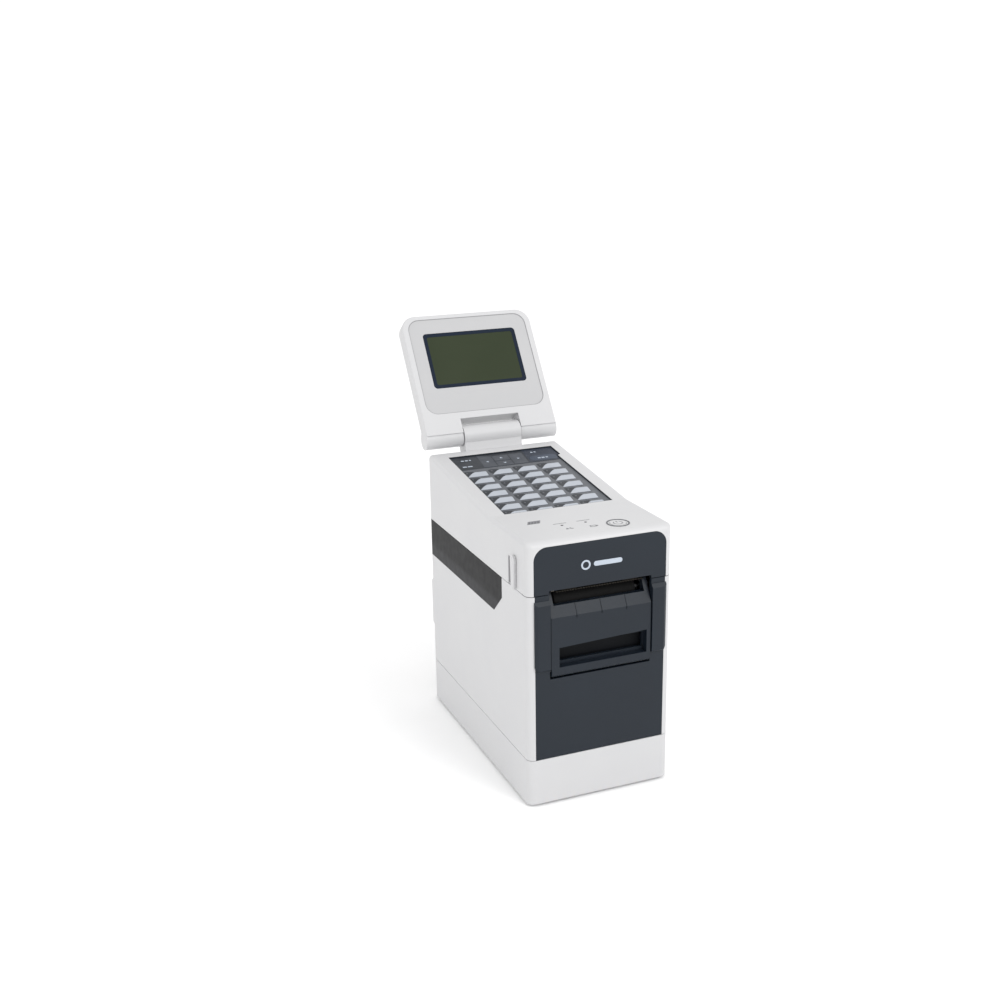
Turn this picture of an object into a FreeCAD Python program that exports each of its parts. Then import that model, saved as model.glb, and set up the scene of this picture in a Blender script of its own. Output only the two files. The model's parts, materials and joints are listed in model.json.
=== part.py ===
"""Desktop label maker with a keypad deck and a flip-up display, as separate named pieces.

Frame: millimetres, +Z up, X to the right, Y from the front face to the rear.
The origin is the centre of the base footprint, on the desk.
"""

import FreeCAD
import Part
import math
import os

Vector = FreeCAD.Vector
X_AXIS = Vector(1, 0, 0)

# ---- Driving dimensions -------------------------------------------------------------------------
WIDTH = 110.0                # outside width of the case
DEPTH = 200.0                # front face to rear face
WALL = 2.5                   # moulded wall
CORNER = 5.5                 # outside radius of the vertical corners
FOOT_HEIGHT = 2.0            # rubber foot under the base
SEAM_Z = 36.0                # base top and case bottom meet here
SPLIT_Z = 157.5              # cover and case meet here
SEAM_GAP = 0.4               # the two thin gaps above
STRIP_Z = 195.3              # flat strip at the front of the cover
CREASE_Y = -33.0             # where the keypad deck starts to rise
DECK_SLOPE = 0.12            # rise of the keypad deck per millimetre

FRONT_Y = -DEPTH / 2
REAR_Y = DEPTH / 2
HALF = WIDTH / 2
INNER = HALF - WALL
CASE_TOP = SPLIT_Z - 0.15
COVER_BOTTOM = CASE_TOP + SEAM_GAP
PANEL_HALF = 49.5            # half width of the lower front panel and of the rear panel
DECK_ANGLE = math.degrees(math.atan(DECK_SLOPE))

# Door and feed
DOOR_HALF = 38.0
DOOR_FACE_Y = -101.5
DOOR_BACK_Y = -93.5
DOOR_TOP_Z = 148.1
DOOR_BOTTOM_Z = 97.5
DOOR_AXIS = (-97.5, 101.5)   # y, z of the door's hinge
PLATEN_AXIS = (-84.0, 147.5)
PLATEN_R = 7.0
SHAFT_R = 3.0
PEEL_AXIS = (-94.2, 144.0)
RUNNING = 0.06               # radial clearance of turning fits

# Gear train, module 1
MODULE = 1.0
PLATEN_TEETH = 16
IDLER_TEETH = 36
PINION_TEETH = 12
IDLER_Y = -70.0
PINION_Y = -62.0
GEAR_X = (-46.5, -43.0)

# Label roll
ROLL_AXIS = (22.0, 104.0)
ROLL_R = 50.0
ROLL_HALF = 29.0
CORE_R = 12.7
TUB_R = 52.5

# Cover hinge, release levers, head
COVER_AXIS = (104.0, 157.5)
KNUCKLE_R = 3.5
LEVER_AXIS = (-79.0, 178.0)
LATCH_PIN = (-71.0, 150.0)
HEAD_AXIS = (-62.0, 166.0)

# Keypad
KEYPAD_HALF = 42.7
KEYPAD_START = 1.0           # along the deck from the crease
KEYPAD_END = 118.3
TAB_X = 45.5                 # right edge of the pull tab's notch at the recess's rear
KEYPAD_DEPTH = 2.5
KEY_ROWS = 7
KEY_COLUMNS = 4
KEY_PITCH_X = 20.4
KEY_PITCH_S = 13.1

# Display
DISPLAY_AXIS = (103.6, 220.3)
DISPLAY_LEAN = 34.8          # degrees back from upright
DISPLAY_HALF = 56.0
DISPLAY_FRONT = 9.0          # before the hinge axis
BARREL_R = 7.8               # the display's barrels
ARM_R = 9.0                  # the arm's own barrel
DISPLAY_TOP = 104.5          # above the hinge axis, along the panel
DISPLAY_BACK = 6.0           # behind the hinge axis
DISPLAY_SPLIT = -3.0         # where its front and back shells meet
NOTCH_HALF = 25.0
NOTCH_TOP = 12.0
ARM_HALF = 24.3


# ---- Shape helpers ------------------------------------------------------------------------------
def box(x0, x1, y0, y1, z0, z1):
    """Block between two corners."""
    return Part.makeBox(x1 - x0, y1 - y0, z1 - z0, Vector(x0, y0, z0))


def rod_x(radius, x0, x1, y, z):
    """Cylinder along X."""
    return Part.makeCylinder(radius, x1 - x0, Vector(x0, y, z), X_AXIS)


def rod_y(radius, y0, y1, x, z):
    """Cylinder along Y."""
    return Part.makeCylinder(radius, y1 - y0, Vector(x, y0, z), Vector(0, 1, 0))


def rod_z(radius, z0, z1, x, y):
    """Cylinder along Z."""
    return Part.makeCylinder(radius, z1 - z0, Vector(x, y, z0), Vector(0, 0, 1))


def prism_x(points, x0, x1):
    """Polygon of (y, z) points, extruded along X."""
    corners = [Vector(x0, y, z) for y, z in points]
    return Part.Face(Part.makePolygon(corners + corners[:1])).extrude(Vector(x1 - x0, 0, 0))


def prism_y(points, y0, y1):
    """Polygon of (x, z) points, extruded along Y."""
    corners = [Vector(x, y0, z) for x, z in points]
    return Part.Face(Part.makePolygon(corners + corners[:1])).extrude(Vector(0, y1 - y0, 0))


def prism_z(points, z0, z1):
    """Polygon of (x, y) points, extruded along Z."""
    corners = [Vector(x, y, z0) for x, y in points]
    return Part.Face(Part.makePolygon(corners + corners[:1])).extrude(Vector(0, 0, z1 - z0))


def rounded(shape, radius, along):
    """Shape with every straight edge along one axis rounded."""
    edges = [e for e in shape.Edges if is_along(e, along)]
    return shape.makeFillet(radius, edges)


def is_along(edge, axis):
    """Whether a straight edge runs along the axis."""
    if not isinstance(edge.Curve, Part.Line):
        return False
    return abs(abs(edge.Curve.Direction.dot(axis)) - 1) < 1e-6


def plate_z(half_x, y0, y1, z0, z1, radius):
    """Block with rounded vertical corners."""
    return rounded(box(-half_x, half_x, y0, y1, z0, z1), radius, Vector(0, 0, 1))


def plate_y(x0, x1, y0, y1, z0, z1, radius):
    """Block with rounded edges along Y, as a panel seen from the front."""
    return rounded(box(x0, x1, y0, y1, z0, z1), radius, Vector(0, 1, 0))


def mirrored(shape):
    """The same shape on the other side of the middle plane."""
    return shape.mirror(Vector(0, 0, 0), X_AXIS)


def both(shape):
    """Two separate solids, one on each side."""
    return Part.makeCompound([shape, mirrored(shape)])


def fused(*shapes):
    """One solid from touching or overlapping shapes."""
    first, rest = shapes[0], list(shapes[1:])
    return first.fuse(rest).removeSplitter()


def cut(shape, *tools):
    """Shape less the tools."""
    for tool in tools:
        shape = shape.cut(tool)
    return shape


def cover_profile(inset):
    """Side outline of the cover, moved inwards by the wall, as a face at x = 0."""
    front = FRONT_Y + inset
    rear = REAR_Y - inset
    top = STRIP_Z - inset
    nose = 5.0 - inset * 0.8
    crown = 8.0 - inset * 0.8
    crease = CREASE_Y + inset * DECK_SLOPE / 2
    deck_end_y = rear - crown
    deck_end_z = top + (deck_end_y - crease) * DECK_SLOPE
    bottom = COVER_BOTTOM - inset
    bend = math.sqrt(0.5)
    a = Vector(0, front, bottom)
    b = Vector(0, front, top - nose)
    bc = Vector(0, front + nose * (1 - bend), top - nose * (1 - bend))
    c = Vector(0, front + nose, top)
    d = Vector(0, crease, top)
    e = Vector(0, deck_end_y, deck_end_z)
    ef = Vector(0, rear - crown * (1 - bend) + crown * 0.05, deck_end_z - crown * (1 - bend) + 0.4)
    f = Vector(0, rear, deck_end_z - crown)
    g = Vector(0, rear, bottom)
    edges = [
        Part.LineSegment(a, b).toShape(),
        Part.Arc(b, bc, c).toShape(),
        Part.LineSegment(c, d).toShape(),
        Part.LineSegment(d, e).toShape(),
        Part.Arc(e, ef, f).toShape(),
        Part.LineSegment(f, g).toShape(),
        Part.LineSegment(g, a).toShape(),
    ]
    return Part.Face(Part.Wire(edges))


def cover_block(inset, half_x):
    """Solid cover form, moved inwards by the wall."""
    face = cover_profile(inset)
    face.translate(Vector(-half_x, 0, 0))
    side = face.extrude(Vector(2 * half_x, 0, 0))
    plan = plate_z(half_x, FRONT_Y + inset, REAR_Y - inset, COVER_BOTTOM - inset, 225, CORNER - inset)
    return side.common(plan)


def on_deck(shape):
    """Place a shape drawn flat (y along the deck, z out of it) on the sloping deck."""
    shape.rotate(Vector(0, 0, 0), X_AXIS, DECK_ANGLE)
    shape.translate(Vector(0, CREASE_Y, STRIP_Z))
    return shape


def on_display(shape):
    """Place a shape drawn upright about the display's hinge at its working lean."""
    shape.rotate(Vector(0, 0, 0), X_AXIS, -DISPLAY_LEAN)
    shape.translate(Vector(0, *DISPLAY_AXIS))
    return shape


# ---- Gears --------------------------------------------------------------------------------------
def involute_gear(teeth, bore_r, y, z, phase):
    """Spur gear about X with a tooth centred on the angle phase (radians, from +Y towards +Z)."""
    pressure = math.radians(25)
    pitch_r = MODULE * teeth / 2
    base_r = pitch_r * math.cos(pressure)
    tip_r = pitch_r + 0.8 * MODULE
    root_r = pitch_r - 1.1 * MODULE
    backlash = 0.14
    half_pitch = (math.pi * MODULE / 2 - backlash) / pitch_r / 2
    involute = math.tan(pressure) - pressure
    start_r = max(base_r, root_r)
    flank = []
    for step in range(5):
        r = start_r + (tip_r - start_r) * step / 4
        angle = math.acos(min(1.0, base_r / r))
        flank.append((r, half_pitch + involute - (math.tan(angle) - angle)))
    points = []
    for tooth in range(teeth):
        centre = phase + 2 * math.pi * tooth / teeth
        outline = [(root_r, -flank[0][1])] + [(r, -a) for r, a in flank]
        outline += [(r, a) for r, a in reversed(flank)] + [(root_r, flank[0][1])]
        if start_r <= root_r:
            outline = outline[1:-1]
        points += [
            (y + r * math.cos(centre + a), z + r * math.sin(centre + a)) for r, a in outline
        ]
    blank = prism_x(points, *GEAR_X)
    return cut(blank, rod_x(bore_r, GEAR_X[0] - 1, GEAR_X[1] + 1, y, z))


def gear_centres():
    """Axis places of the idler and the pinion, from the pitch distances."""
    platen_y, platen_z = PLATEN_AXIS
    first = MODULE * (PLATEN_TEETH + IDLER_TEETH) / 2
    idler_z = platen_z - math.sqrt(first ** 2 - (IDLER_Y - platen_y) ** 2)
    second = MODULE * (IDLER_TEETH + PINION_TEETH) / 2
    pinion_z = idler_z - math.sqrt(second ** 2 - (PINION_Y - IDLER_Y) ** 2)
    return (IDLER_Y, idler_z), (PINION_Y, pinion_z)


IDLER_AXIS, PINION_AXIS = gear_centres()


def gear_phases():
    """Tooth angles that put all three gears in mesh."""
    to_platen = math.atan2(PLATEN_AXIS[1] - IDLER_AXIS[1], PLATEN_AXIS[0] - IDLER_AXIS[0])
    to_pinion = math.atan2(PINION_AXIS[1] - IDLER_AXIS[1], PINION_AXIS[0] - IDLER_AXIS[0])
    idler = to_platen
    platen = to_platen + math.pi + math.pi / PLATEN_TEETH
    pitch = 2 * math.pi / IDLER_TEETH
    ahead = (idler - to_pinion) % pitch
    pinion = to_pinion + math.pi - ahead * IDLER_TEETH / PINION_TEETH + math.pi / PINION_TEETH
    return platen, idler, pinion


# ---- Base with battery --------------------------------------------------------------------------
BATTERY_HALF = 40.0
BATTERY_Z = (8.0, 30.0)
BATTERY_FRONT_Y = -60.0
POST_PLACES = [(-46.0, -86.0), (46.0, -86.0), (-46.0, 86.0), (46.0, 86.0)]
BASE_TOP = SEAM_Z - SEAM_GAP / 2


def base_housing():
    """Battery base: a closed tray with screw posts, battery rails and a bay open to the rear."""
    outer = plate_z(HALF, FRONT_Y, REAR_Y, FOOT_HEIGHT, BASE_TOP, CORNER)
    hollow = plate_z(INNER, FRONT_Y + WALL, REAR_Y - WALL, FOOT_HEIGHT + WALL, BASE_TOP - WALL, 3.0)
    shell = cut(outer, hollow)
    posts = [rod_z(4.5, FOOT_HEIGHT, BASE_TOP, x, y) for x, y in POST_PLACES]
    rails = [
        box(x, x + 4, BATTERY_FRONT_Y, REAR_Y - WALL, FOOT_HEIGHT + WALL, BATTERY_Z[0] - 0.3)
        for x in (-24.0, 20.0)
    ]
    shell = fused(shell, *posts, *rails)
    shafts = [rod_z(1.5, FOOT_HEIGHT - 1, BASE_TOP + 1, x, y) for x, y in POST_PLACES]
    heads = [rod_z(3.2, FOOT_HEIGHT - 1, FOOT_HEIGHT + WALL, x, y) for x, y in POST_PLACES]
    bay = box(-BATTERY_HALF - 0.4, BATTERY_HALF + 0.4, 90, REAR_Y + 1, BATTERY_Z[0] - 0.4, BATTERY_Z[1] + 0.4)
    return cut(shell, *shafts, *heads, bay)


def battery_pack():
    """Battery that slides out to the rear, with a ribbed grip on its end."""
    body = rounded(
        box(-BATTERY_HALF, BATTERY_HALF, BATTERY_FRONT_Y, REAR_Y - 0.4, *BATTERY_Z), 2.0, Vector(0, 1, 0)
    )
    grip = [box(-14, 14, REAR_Y - 0.4, REAR_Y + 1.2, z, z + 1.5) for z in (16.0, 19.0, 22.0)]
    return fused(body, *grip)


def feet():
    """Four rubber feet at the corners and a fifth under the middle."""
    places = [(-44.0, -72.0), (44.0, -72.0), (-44.0, 72.0), (44.0, 72.0), (0.0, 0.0)]
    pads = []
    for x, y in places:
        pad = rod_z(7.0, 0, FOOT_HEIGHT, x, y)
        pads.append(pad.makeFillet(0.6, [pad.Edges[2]]))
    return Part.makeCompound(pads)


def case_screws():
    """Four screws that hold the base to the chassis."""
    screws = []
    for x, y in POST_PLACES:
        head = rod_z(2.9, FOOT_HEIGHT + 0.4, FOOT_HEIGHT + WALL, x, y)
        shank = rod_z(1.5, FOOT_HEIGHT + WALL, BASE_TOP + 1.8, x, y)
        slot = box(x - 2, x + 2, y - 0.3, y + 0.3, FOOT_HEIGHT, FOOT_HEIGHT + 1.2)
        cross = box(x - 0.3, x + 0.3, y - 2, y + 2, FOOT_HEIGHT, FOOT_HEIGHT + 1.2)
        screws.append(cut(fused(head, shank), slot, cross))
    return Part.makeCompound(screws)


# ---- Lower case ---------------------------------------------------------------------------------
CASE_BOTTOM = SEAM_Z + SEAM_GAP / 2


def case_ring():
    """The whole wall of the lower case, before it is parted into panels."""
    outer = plate_z(HALF, FRONT_Y, REAR_Y, CASE_BOTTOM, CASE_TOP, CORNER)
    inner = plate_z(INNER, FRONT_Y + WALL, REAR_Y - WALL, CASE_BOTTOM - 1, CASE_TOP + 1, CORNER - WALL)
    return cut(outer, inner)


def window_outline():
    """Smoked band seen from the side: straight along the top, a chamfer at its front end."""
    return [(-55.0, CASE_TOP + 1), (-55.0, 142.3), (-39.5, 127.8), (101, 127.8), (101, CASE_TOP + 1)]


def case_side_left():
    """Left side panel with its rounded corners, less the window band."""
    strip = box(-HALF - 1, -PANEL_HALF, FRONT_Y - 1, REAR_Y + 1, CASE_BOTTOM, CASE_TOP)
    return cut(case_ring().common(strip), prism_x(window_outline(), -HALF - 1, -PANEL_HALF + 1))


def window_bands():
    """The two smoked bands, wrapped round the rear corners."""
    strip = box(-HALF - 1, -PANEL_HALF, FRONT_Y - 1, REAR_Y + 1, CASE_BOTTOM, CASE_TOP)
    band = case_ring().common(strip).common(prism_x(window_outline(), -HALF - 1, -PANEL_HALF + 1))
    return both(band)


SOCKET_Y = (94.6, 113.3)
HUMP_Y = 113.5


def case_rear():
    """Rear panel with hinge knuckles on top and an opening for the sockets."""
    panel = box(-PANEL_HALF, PANEL_HALF, REAR_Y - WALL, REAR_Y, CASE_BOTTOM, CASE_TOP)
    hinge_y, hinge_z = COVER_AXIS
    ears = []
    for x in (-34.0, 28.0):
        gusset = [(REAR_Y, 146), (REAR_Y, CASE_TOP), (hinge_y, hinge_z), (hinge_y + KNUCKLE_R, hinge_z)]
        ears.append(fused(prism_x(gusset, x, x + 6), rod_x(KNUCKLE_R, x, x + 6, hinge_y, hinge_z)))
    panel = fused(panel, *ears)
    pins = rod_x(1.5, -60, 60, hinge_y, hinge_z)
    wall_relief = box(-36, 36, REAR_Y - WALL - 1, REAR_Y, CASE_TOP, SPLIT_Z + 6)
    return cut(panel, pins, wall_relief, box(-40, 34, 90, 101, 72, 92))


def cover_hinge_pins():
    """Two steel pins of the cover hinge."""
    return both(rod_x(1.5, 20.5, 34.0, *COVER_AXIS))


def interface_housing():
    """Hump on the rear panel, tapered below, that holds the sockets."""
    profile = [(REAR_Y, 55.0), (HUMP_Y, 62.0), (HUMP_Y, 98.5), (HUMP_Y - 4, 102.5), (REAR_Y, 102.5)]
    outer = rounded(prism_x(profile, -50, 50), 1.2, X_AXIS)
    hollow = [(REAR_Y - 1, 58.5), (HUMP_Y - 2, 63.5), (HUMP_Y - 2, 97.5), (HUMP_Y - 5, 100.5),
              (REAR_Y - 1, 100.5)]
    shell = cut(outer, prism_x(hollow, -48, 48))
    mouths = [box(x0, x1, 108, 115, z0, z1) for x0, x1, z0, z1 in SOCKET_BLOCKS.values()]
    return cut(shell, *mouths)


SOCKET_BLOCKS = {
    "power_inlet": (-37.0, -25.0, 76.0, 88.0),
    "usb_socket": (-12.0, 0.0, 76.0, 87.0),
    "network_socket": (14.0, 30.0, 75.0, 88.0),
}


def socket_block(name):
    """Outer block of one socket."""
    x0, x1, z0, z1 = SOCKET_BLOCKS[name]
    return box(x0, x1, SOCKET_Y[0], SOCKET_Y[1], z0, z1)


def power_inlet():
    """Round direct-current inlet with its centre pin."""
    bore = rod_y(3.1, 103.3, 114, -31, 82)
    return fused(cut(socket_block("power_inlet"), bore), rod_y(1.0, 103.3, 112.3, -31, 82))


def usb_socket():
    """Square data socket with its tongue."""
    mouth = plate_y(-10.3, -1.7, 102.0, 114, 77.6, 85.4, 0.8)
    tongue = box(-8.8, -3.2, 102.0, 111.0, 80.2, 81.6)
    return fused(cut(socket_block("usb_socket"), mouth), tongue)


def network_socket():
    """Network socket with its latch notch."""
    mouth = fused(box(16.1, 27.9, 100.0, 114, 77, 84), box(19.0, 25.0, 100.0, 114, 84, 86.5))
    return cut(socket_block("network_socket"), mouth)


def front_panel():
    """Lower front panel, open where the door is, with two ears for the door's hinge pins."""
    panel = box(-PANEL_HALF, PANEL_HALF, FRONT_Y, FRONT_Y + WALL, CASE_BOTTOM, CASE_TOP)
    hinge_y, hinge_z = DOOR_AXIS
    ear = box(41.2, 44.5, FRONT_Y + WALL, DOOR_BACK_Y, 97, 106)
    panel = fused(panel, ear, mirrored(ear))
    upper = box(-38.8, 38.8, FRONT_Y - 1, FRONT_Y + 4, 103.0, CASE_TOP + 1)
    lower = box(-38.4, 38.4, FRONT_Y - 1, FRONT_Y + 4, 95.6, 104.0)
    return cut(panel, upper, lower, rod_x(1.5, -44.5, 44.5, hinge_y, hinge_z))


def front_wings():
    """Raised dark cheeks beside the door, faceted at the top, with outer and lower corners chamfered."""
    side = [(FRONT_Y, 103.0), (-101.6, 103.0), (-102.5, 104.0), (-102.5, 151.0), (FRONT_Y - 0.3, 153.7),
            (FRONT_Y, 153.7)]
    wing = prism_x(side, 38.8, 50.0)
    bevel = prism_z([(51, -100.6), (51, -103), (48.2, -103), (48.2, -102.5)], 100, 156)
    corner = prism_y([(50.5, 106.5), (47.2, 102.5), (50.5, 102.5)], -103, -99)
    return both(cut(wing, bevel, corner))


def door_hinge_pins():
    """Two short pins in the front panel's ears."""
    return both(rod_x(1.5, 34.2, 44.5, *DOOR_AXIS))


# ---- Feed mechanism -----------------------------------------------------------------------------
def mech_plate(side):
    """Steel side plate that carries the platen, with the gear post on the left one."""
    outline = [(-91, 84), (-91, 153), (-60, 153), (-43, 140), (-43, CHASSIS_TOP), (-62, CHASSIS_TOP), (-72, 84)]
    x0, x1 = (-42.0, -40.5) if side == "left" else (40.5, 42.0)
    plate = prism_x(outline, x0, x1)
    plate = cut(plate, rod_x(SHAFT_R + RUNNING, x0 - 1, x1 + 1, *PLATEN_AXIS))
    if side == "left":
        plate = cut(plate, rod_x(4.0, x0 - 1, x1 + 1, *PINION_AXIS))
        plate = fused(plate, rod_x(2.5, GEAR_X[0] - 1.0, x1, *IDLER_AXIS))
    return cut(plate, rod_x(1.8, x0 - 1, x1 + 1, *LATCH_PIN))


CHASSIS_TOP = SEAM_Z + 2.3


def chassis():
    """Steel floor plate of the printer, between the case walls."""
    plate = plate_z(INNER, FRONT_Y + WALL, REAR_Y - WALL, BASE_TOP, CHASSIS_TOP, CORNER - WALL)
    holes = [rod_z(1.5, BASE_TOP - 1, BASE_TOP + 1.8, x, y) for x, y in POST_PLACES]
    return cut(plate, *holes)


def latch_pins():
    """Two pins that the cover's hooks reach for."""
    return both(rod_x(1.8, 40.5, 50.0, *LATCH_PIN))


def platen_shaft():
    """Steel shaft of the platen."""
    return rod_x(SHAFT_R, GEAR_X[0] - 0.3, 44.0, *PLATEN_AXIS)


def platen_roller():
    """Rubber platen on its shaft."""
    tube = rod_x(PLATEN_R, -31, 31, *PLATEN_AXIS)
    tube = tube.makeFillet(0.6, [e for e in tube.Edges if not is_along(e, X_AXIS)])
    return cut(tube, rod_x(SHAFT_R, -32, 32, *PLATEN_AXIS))


def drive_motor():
    """Stepper motor with a bore for its shaft."""
    y, z = PINION_AXIS
    body = rounded(box(-40.5, -18, y - 17.5, y + 17.5, z - 17.5, z + 17.5), 3.0, X_AXIS)
    return cut(body, rod_x(2.5 + RUNNING, -41, -28, y, z))


def motor_pinion():
    """Pinion and motor shaft in one piece."""
    gear = involute_gear(PINION_TEETH, 2.5, *PINION_AXIS, gear_phases()[2])
    return fused(gear, rod_x(2.5, GEAR_X[0] - 1, -28.5, *PINION_AXIS))


def main_board():
    """Circuit board on the floor, with parts on it and a riser for the sockets."""
    floor = box(-46, 46, -40, 92, 43.0, 44.6)
    riser = box(-42, 36, 93, SOCKET_Y[0], 43.0, 95)
    joint = box(-42, 36, 92, 93, 43.0, 44.6)
    chips = [box(-30, -16, -30, -16, 44.6, 46.6), box(6, 26, -34, -22, 44.6, 47.0), box(-8, 4, 80, 90, 44.6, 52.0)]
    cans = [rod_z(4.0, 44.6, 54.0, x, 84) for x in (-36.0, -24.0, 24.0, 36.0)]
    stands = [rod_z(2.5, CHASSIS_TOP, 43.0, x, y) for x in (-42.0, 42.0) for y in (-36.0, 86.0)]
    return fused(floor, riser, joint, *chips, *cans, *stands)


def roll_tub():
    """Cradle of the roll compartment: half a round trough with straight walls above and two ends."""
    y, z = ROLL_AXIS
    outer_r = TUB_R + 2
    trough = cut(rod_x(outer_r, -51, 51, y, z), box(-52, 52, y - 60, y + 60, z, z + 60))
    walls = box(-51, 51, y - outer_r, y + outer_r, z, 140)
    hollow = fused(
        cut(rod_x(TUB_R, -49, 49, y, z), box(-52, 52, y - 60, y + 60, z, z + 60)),
        box(-49, 49, y - TUB_R, y + TUB_R, z, 141),
    )
    legs = [box(x, x + 5, y0, y0 + 6, 44.6, 62) for x in (-47.0, 42.0) for y0 in (-18.0, 56.0)]
    return cut(fused(trough, walls, *legs), hollow)


def roll_guide_left():
    """Left roll guide: a plate on the trough's floor with a hub that enters the core."""
    y, z = ROLL_AXIS
    plate = rod_x(40.0, -32.5, -29.5, y, z)
    foot = rod_x(TUB_R - 0.3, -34.5, -29.5, y, z).common(box(-35, -29, y - 16, y + 16, z - 60, z - 20))
    rib = cut(rod_x(18.0, -35.5, -32.5, y, z), rod_x(15.0, -36, -32, y, z))
    hub = rod_x(12.0, -29.5, -21.5, y, z)
    return fused(plate, foot, rib, hub)


def label_roll():
    """Roll of label stock."""
    paper = rod_x(ROLL_R, -ROLL_HALF, ROLL_HALF, *ROLL_AXIS)
    return cut(paper, rod_x(CORE_R + 2.5, -30, 30, *ROLL_AXIS))


def roll_core():
    """Cardboard core of the roll."""
    tube = rod_x(CORE_R + 2.5, -ROLL_HALF, ROLL_HALF, *ROLL_AXIS)
    return cut(tube, rod_x(CORE_R, -30, 30, *ROLL_AXIS))


# ---- Peeler door --------------------------------------------------------------------------------
def peeler_door():
    """Front door: sloping lip, cheeks, liner outlet and a foot round the hinge."""
    side = [(DOOR_FACE_Y, 103.0), (DOOR_FACE_Y, 140.7), (-97.5, DOOR_TOP_Z), (DOOR_BACK_Y, DOOR_TOP_Z),
            (DOOR_BACK_Y, 103.0)]
    body = prism_x(side, -DOOR_HALF, DOOR_HALF)
    foot_side = [(DOOR_FACE_Y, 103.0), (DOOR_FACE_Y, 98.6), (-100.6, DOOR_BOTTOM_Z), (-94.6, DOOR_BOTTOM_Z),
                 (DOOR_BACK_Y, 98.6), (DOOR_BACK_Y, 103.0)]
    foot = prism_x(foot_side, -37.6, 37.6)
    cheek = prism_x([(-99.4, 144.6), (-92.9, 156.6), (-90.6, 156.9), (-90.6, 146.0), (DOOR_BACK_Y, 143.0)],
                    34.6, DOOR_HALF)
    door = fused(body, foot, cheek, mirrored(cheek))
    recess = prism_y([(-32, 104), (35, 104), (35, 120.8), (-32, 118.4)], DOOR_FACE_Y - 1, -96.0)
    outlet = box(-31, 34, -97, DOOR_BACK_Y + 1, 106.5, 117.5)
    pocket = fused(
        rod_x(3.5, -31.6, 31.6, *PEEL_AXIS), box(-31.6, 31.6, PEEL_AXIS[0], -93, 140.5, 147.5)
    )
    bearings = rod_x(1.5 + RUNNING, -34.0, 34.0, *PEEL_AXIS)
    sensor = box(-7.0, 5.0, -97.0, -95.6, DOOR_TOP_Z - 1.0, DOOR_TOP_Z + 1)
    grooves = [
        prism_x([(-103, 138.8), (-101.0, 138.8), (-101.0, 140.8), (-97.0, 148.2), (-103, 148.2)],
                x - 0.35, x + 0.35)
        for x in (-19.0, 0.0, 19.0)
    ]
    pivots = [rod_x(1.5 + RUNNING, x, x + 6.5, *DOOR_AXIS) for x in (-40.2, 33.7)]
    return cut(door, recess, outlet, pocket, bearings, sensor, *grooves, *pivots)


def peel_roller():
    """Small roller that turns the liner round the door's lip."""
    barrel = rod_x(3.0, -31.0, 31.0, *PEEL_AXIS)
    return fused(barrel, rod_x(1.5, -33.6, 33.6, *PEEL_AXIS))


# ---- Top cover ----------------------------------------------------------------------------------
BUTTON_PLACE = (21.2, -82.8)
LAMP_PLACES = [(-16.2, -71.6), (1.7, -71.7)]
BOSS_PLACES = [(-30.0, -90.0), (30.0, -90.0), (-30.0, -62.0), (30.0, -62.0)]
CUP_Y = (-76.0, -67.5)
CUP_Z = 178.5


def front_opening(y0, y1):
    """Outline of the dark inset in the cover's front, rounded at its upper corners."""
    panel = plate_y(-50.1, 50.1, y0, y1, 140, 191.6, 9.5)
    return panel.common(box(-60, 60, y0 - 1, y1 + 1, COVER_BOTTOM, 200))


def cover_shell():
    """White cover with the keypad recess, bosses for the head frame and hinge knuckles."""
    outer = cover_block(0, HALF)
    top_edges = [e for e in outer.Edges if is_top_edge(e)]
    outer = outer.makeFillet(3.0, top_edges)
    shell = cut(outer, cover_block(WALL, INNER))
    pad = box(-KEYPAD_HALF - 5, KEYPAD_HALF + 5, 0, KEYPAD_END + 1.0, -5.0, -1.0)
    bosses = [rod_z(3.0, 174, 194, x, y) for x, y in BOSS_PLACES]
    knuckles = [cover_knuckle(x) for x in (-27.5, 20.5)]
    shell = fused(shell, on_deck(pad), *bosses, *knuckles)
    recess = box(-KEYPAD_HALF, KEYPAD_HALF, KEYPAD_START, KEYPAD_END, -KEYPAD_DEPTH, 5)
    notch = prism_z([(41, 97.5), (KEYPAD_HALF, 97.5), (TAB_X, 99.5), (TAB_X, KEYPAD_END), (41, KEYPAD_END)],
                    -KEYPAD_DEPTH, 5)
    window = plate_x_cup(HALF + 1, 45.0)
    tools = [on_deck(recess), on_deck(notch), front_opening(-102, -97)]
    tools += [window, mirrored(window), rod_x(2.5 + RUNNING, -60, 60, *LEVER_AXIS)]
    tools += [rod_z(6.0, 190, 197, *BUTTON_PLACE)]
    tools += [rod_z(1.0, 190, 197, x, y) for x, y in LAMP_PLACES]
    tools += [sensor_window(190, 197), rod_x(1.5 + RUNNING, -29, 29, *COVER_AXIS)]
    return cut(shell, *tools)


def is_top_edge(edge):
    """Long upper edges of the cover form, along its sides."""
    box_ = edge.BoundBox
    return box_.ZMin > 190 and box_.XLength < 0.01 and abs(box_.XMin) > HALF - 1 and box_.YLength > 20


def cover_knuckle(x0):
    """Hinge knuckle on the cover's rear wall."""
    y, z = COVER_AXIS
    web = prism_x([(REAR_Y - 1, z + 1.0), (y, z - 1.0), (y + KNUCKLE_R, z), (REAR_Y - 1, z + 12)], x0, x0 + 7)
    return fused(web, rod_x(KNUCKLE_R, x0, x0 + 7, y, z)).cut(box(-40, 40, 90, REAR_Y, 150, COVER_BOTTOM))


def plate_x_cup(x_out, x_in):
    """Block through the side wall where a finger cup sits."""
    return box(x_in, x_out, *CUP_Y, COVER_BOTTOM - 1, CUP_Z)


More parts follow.
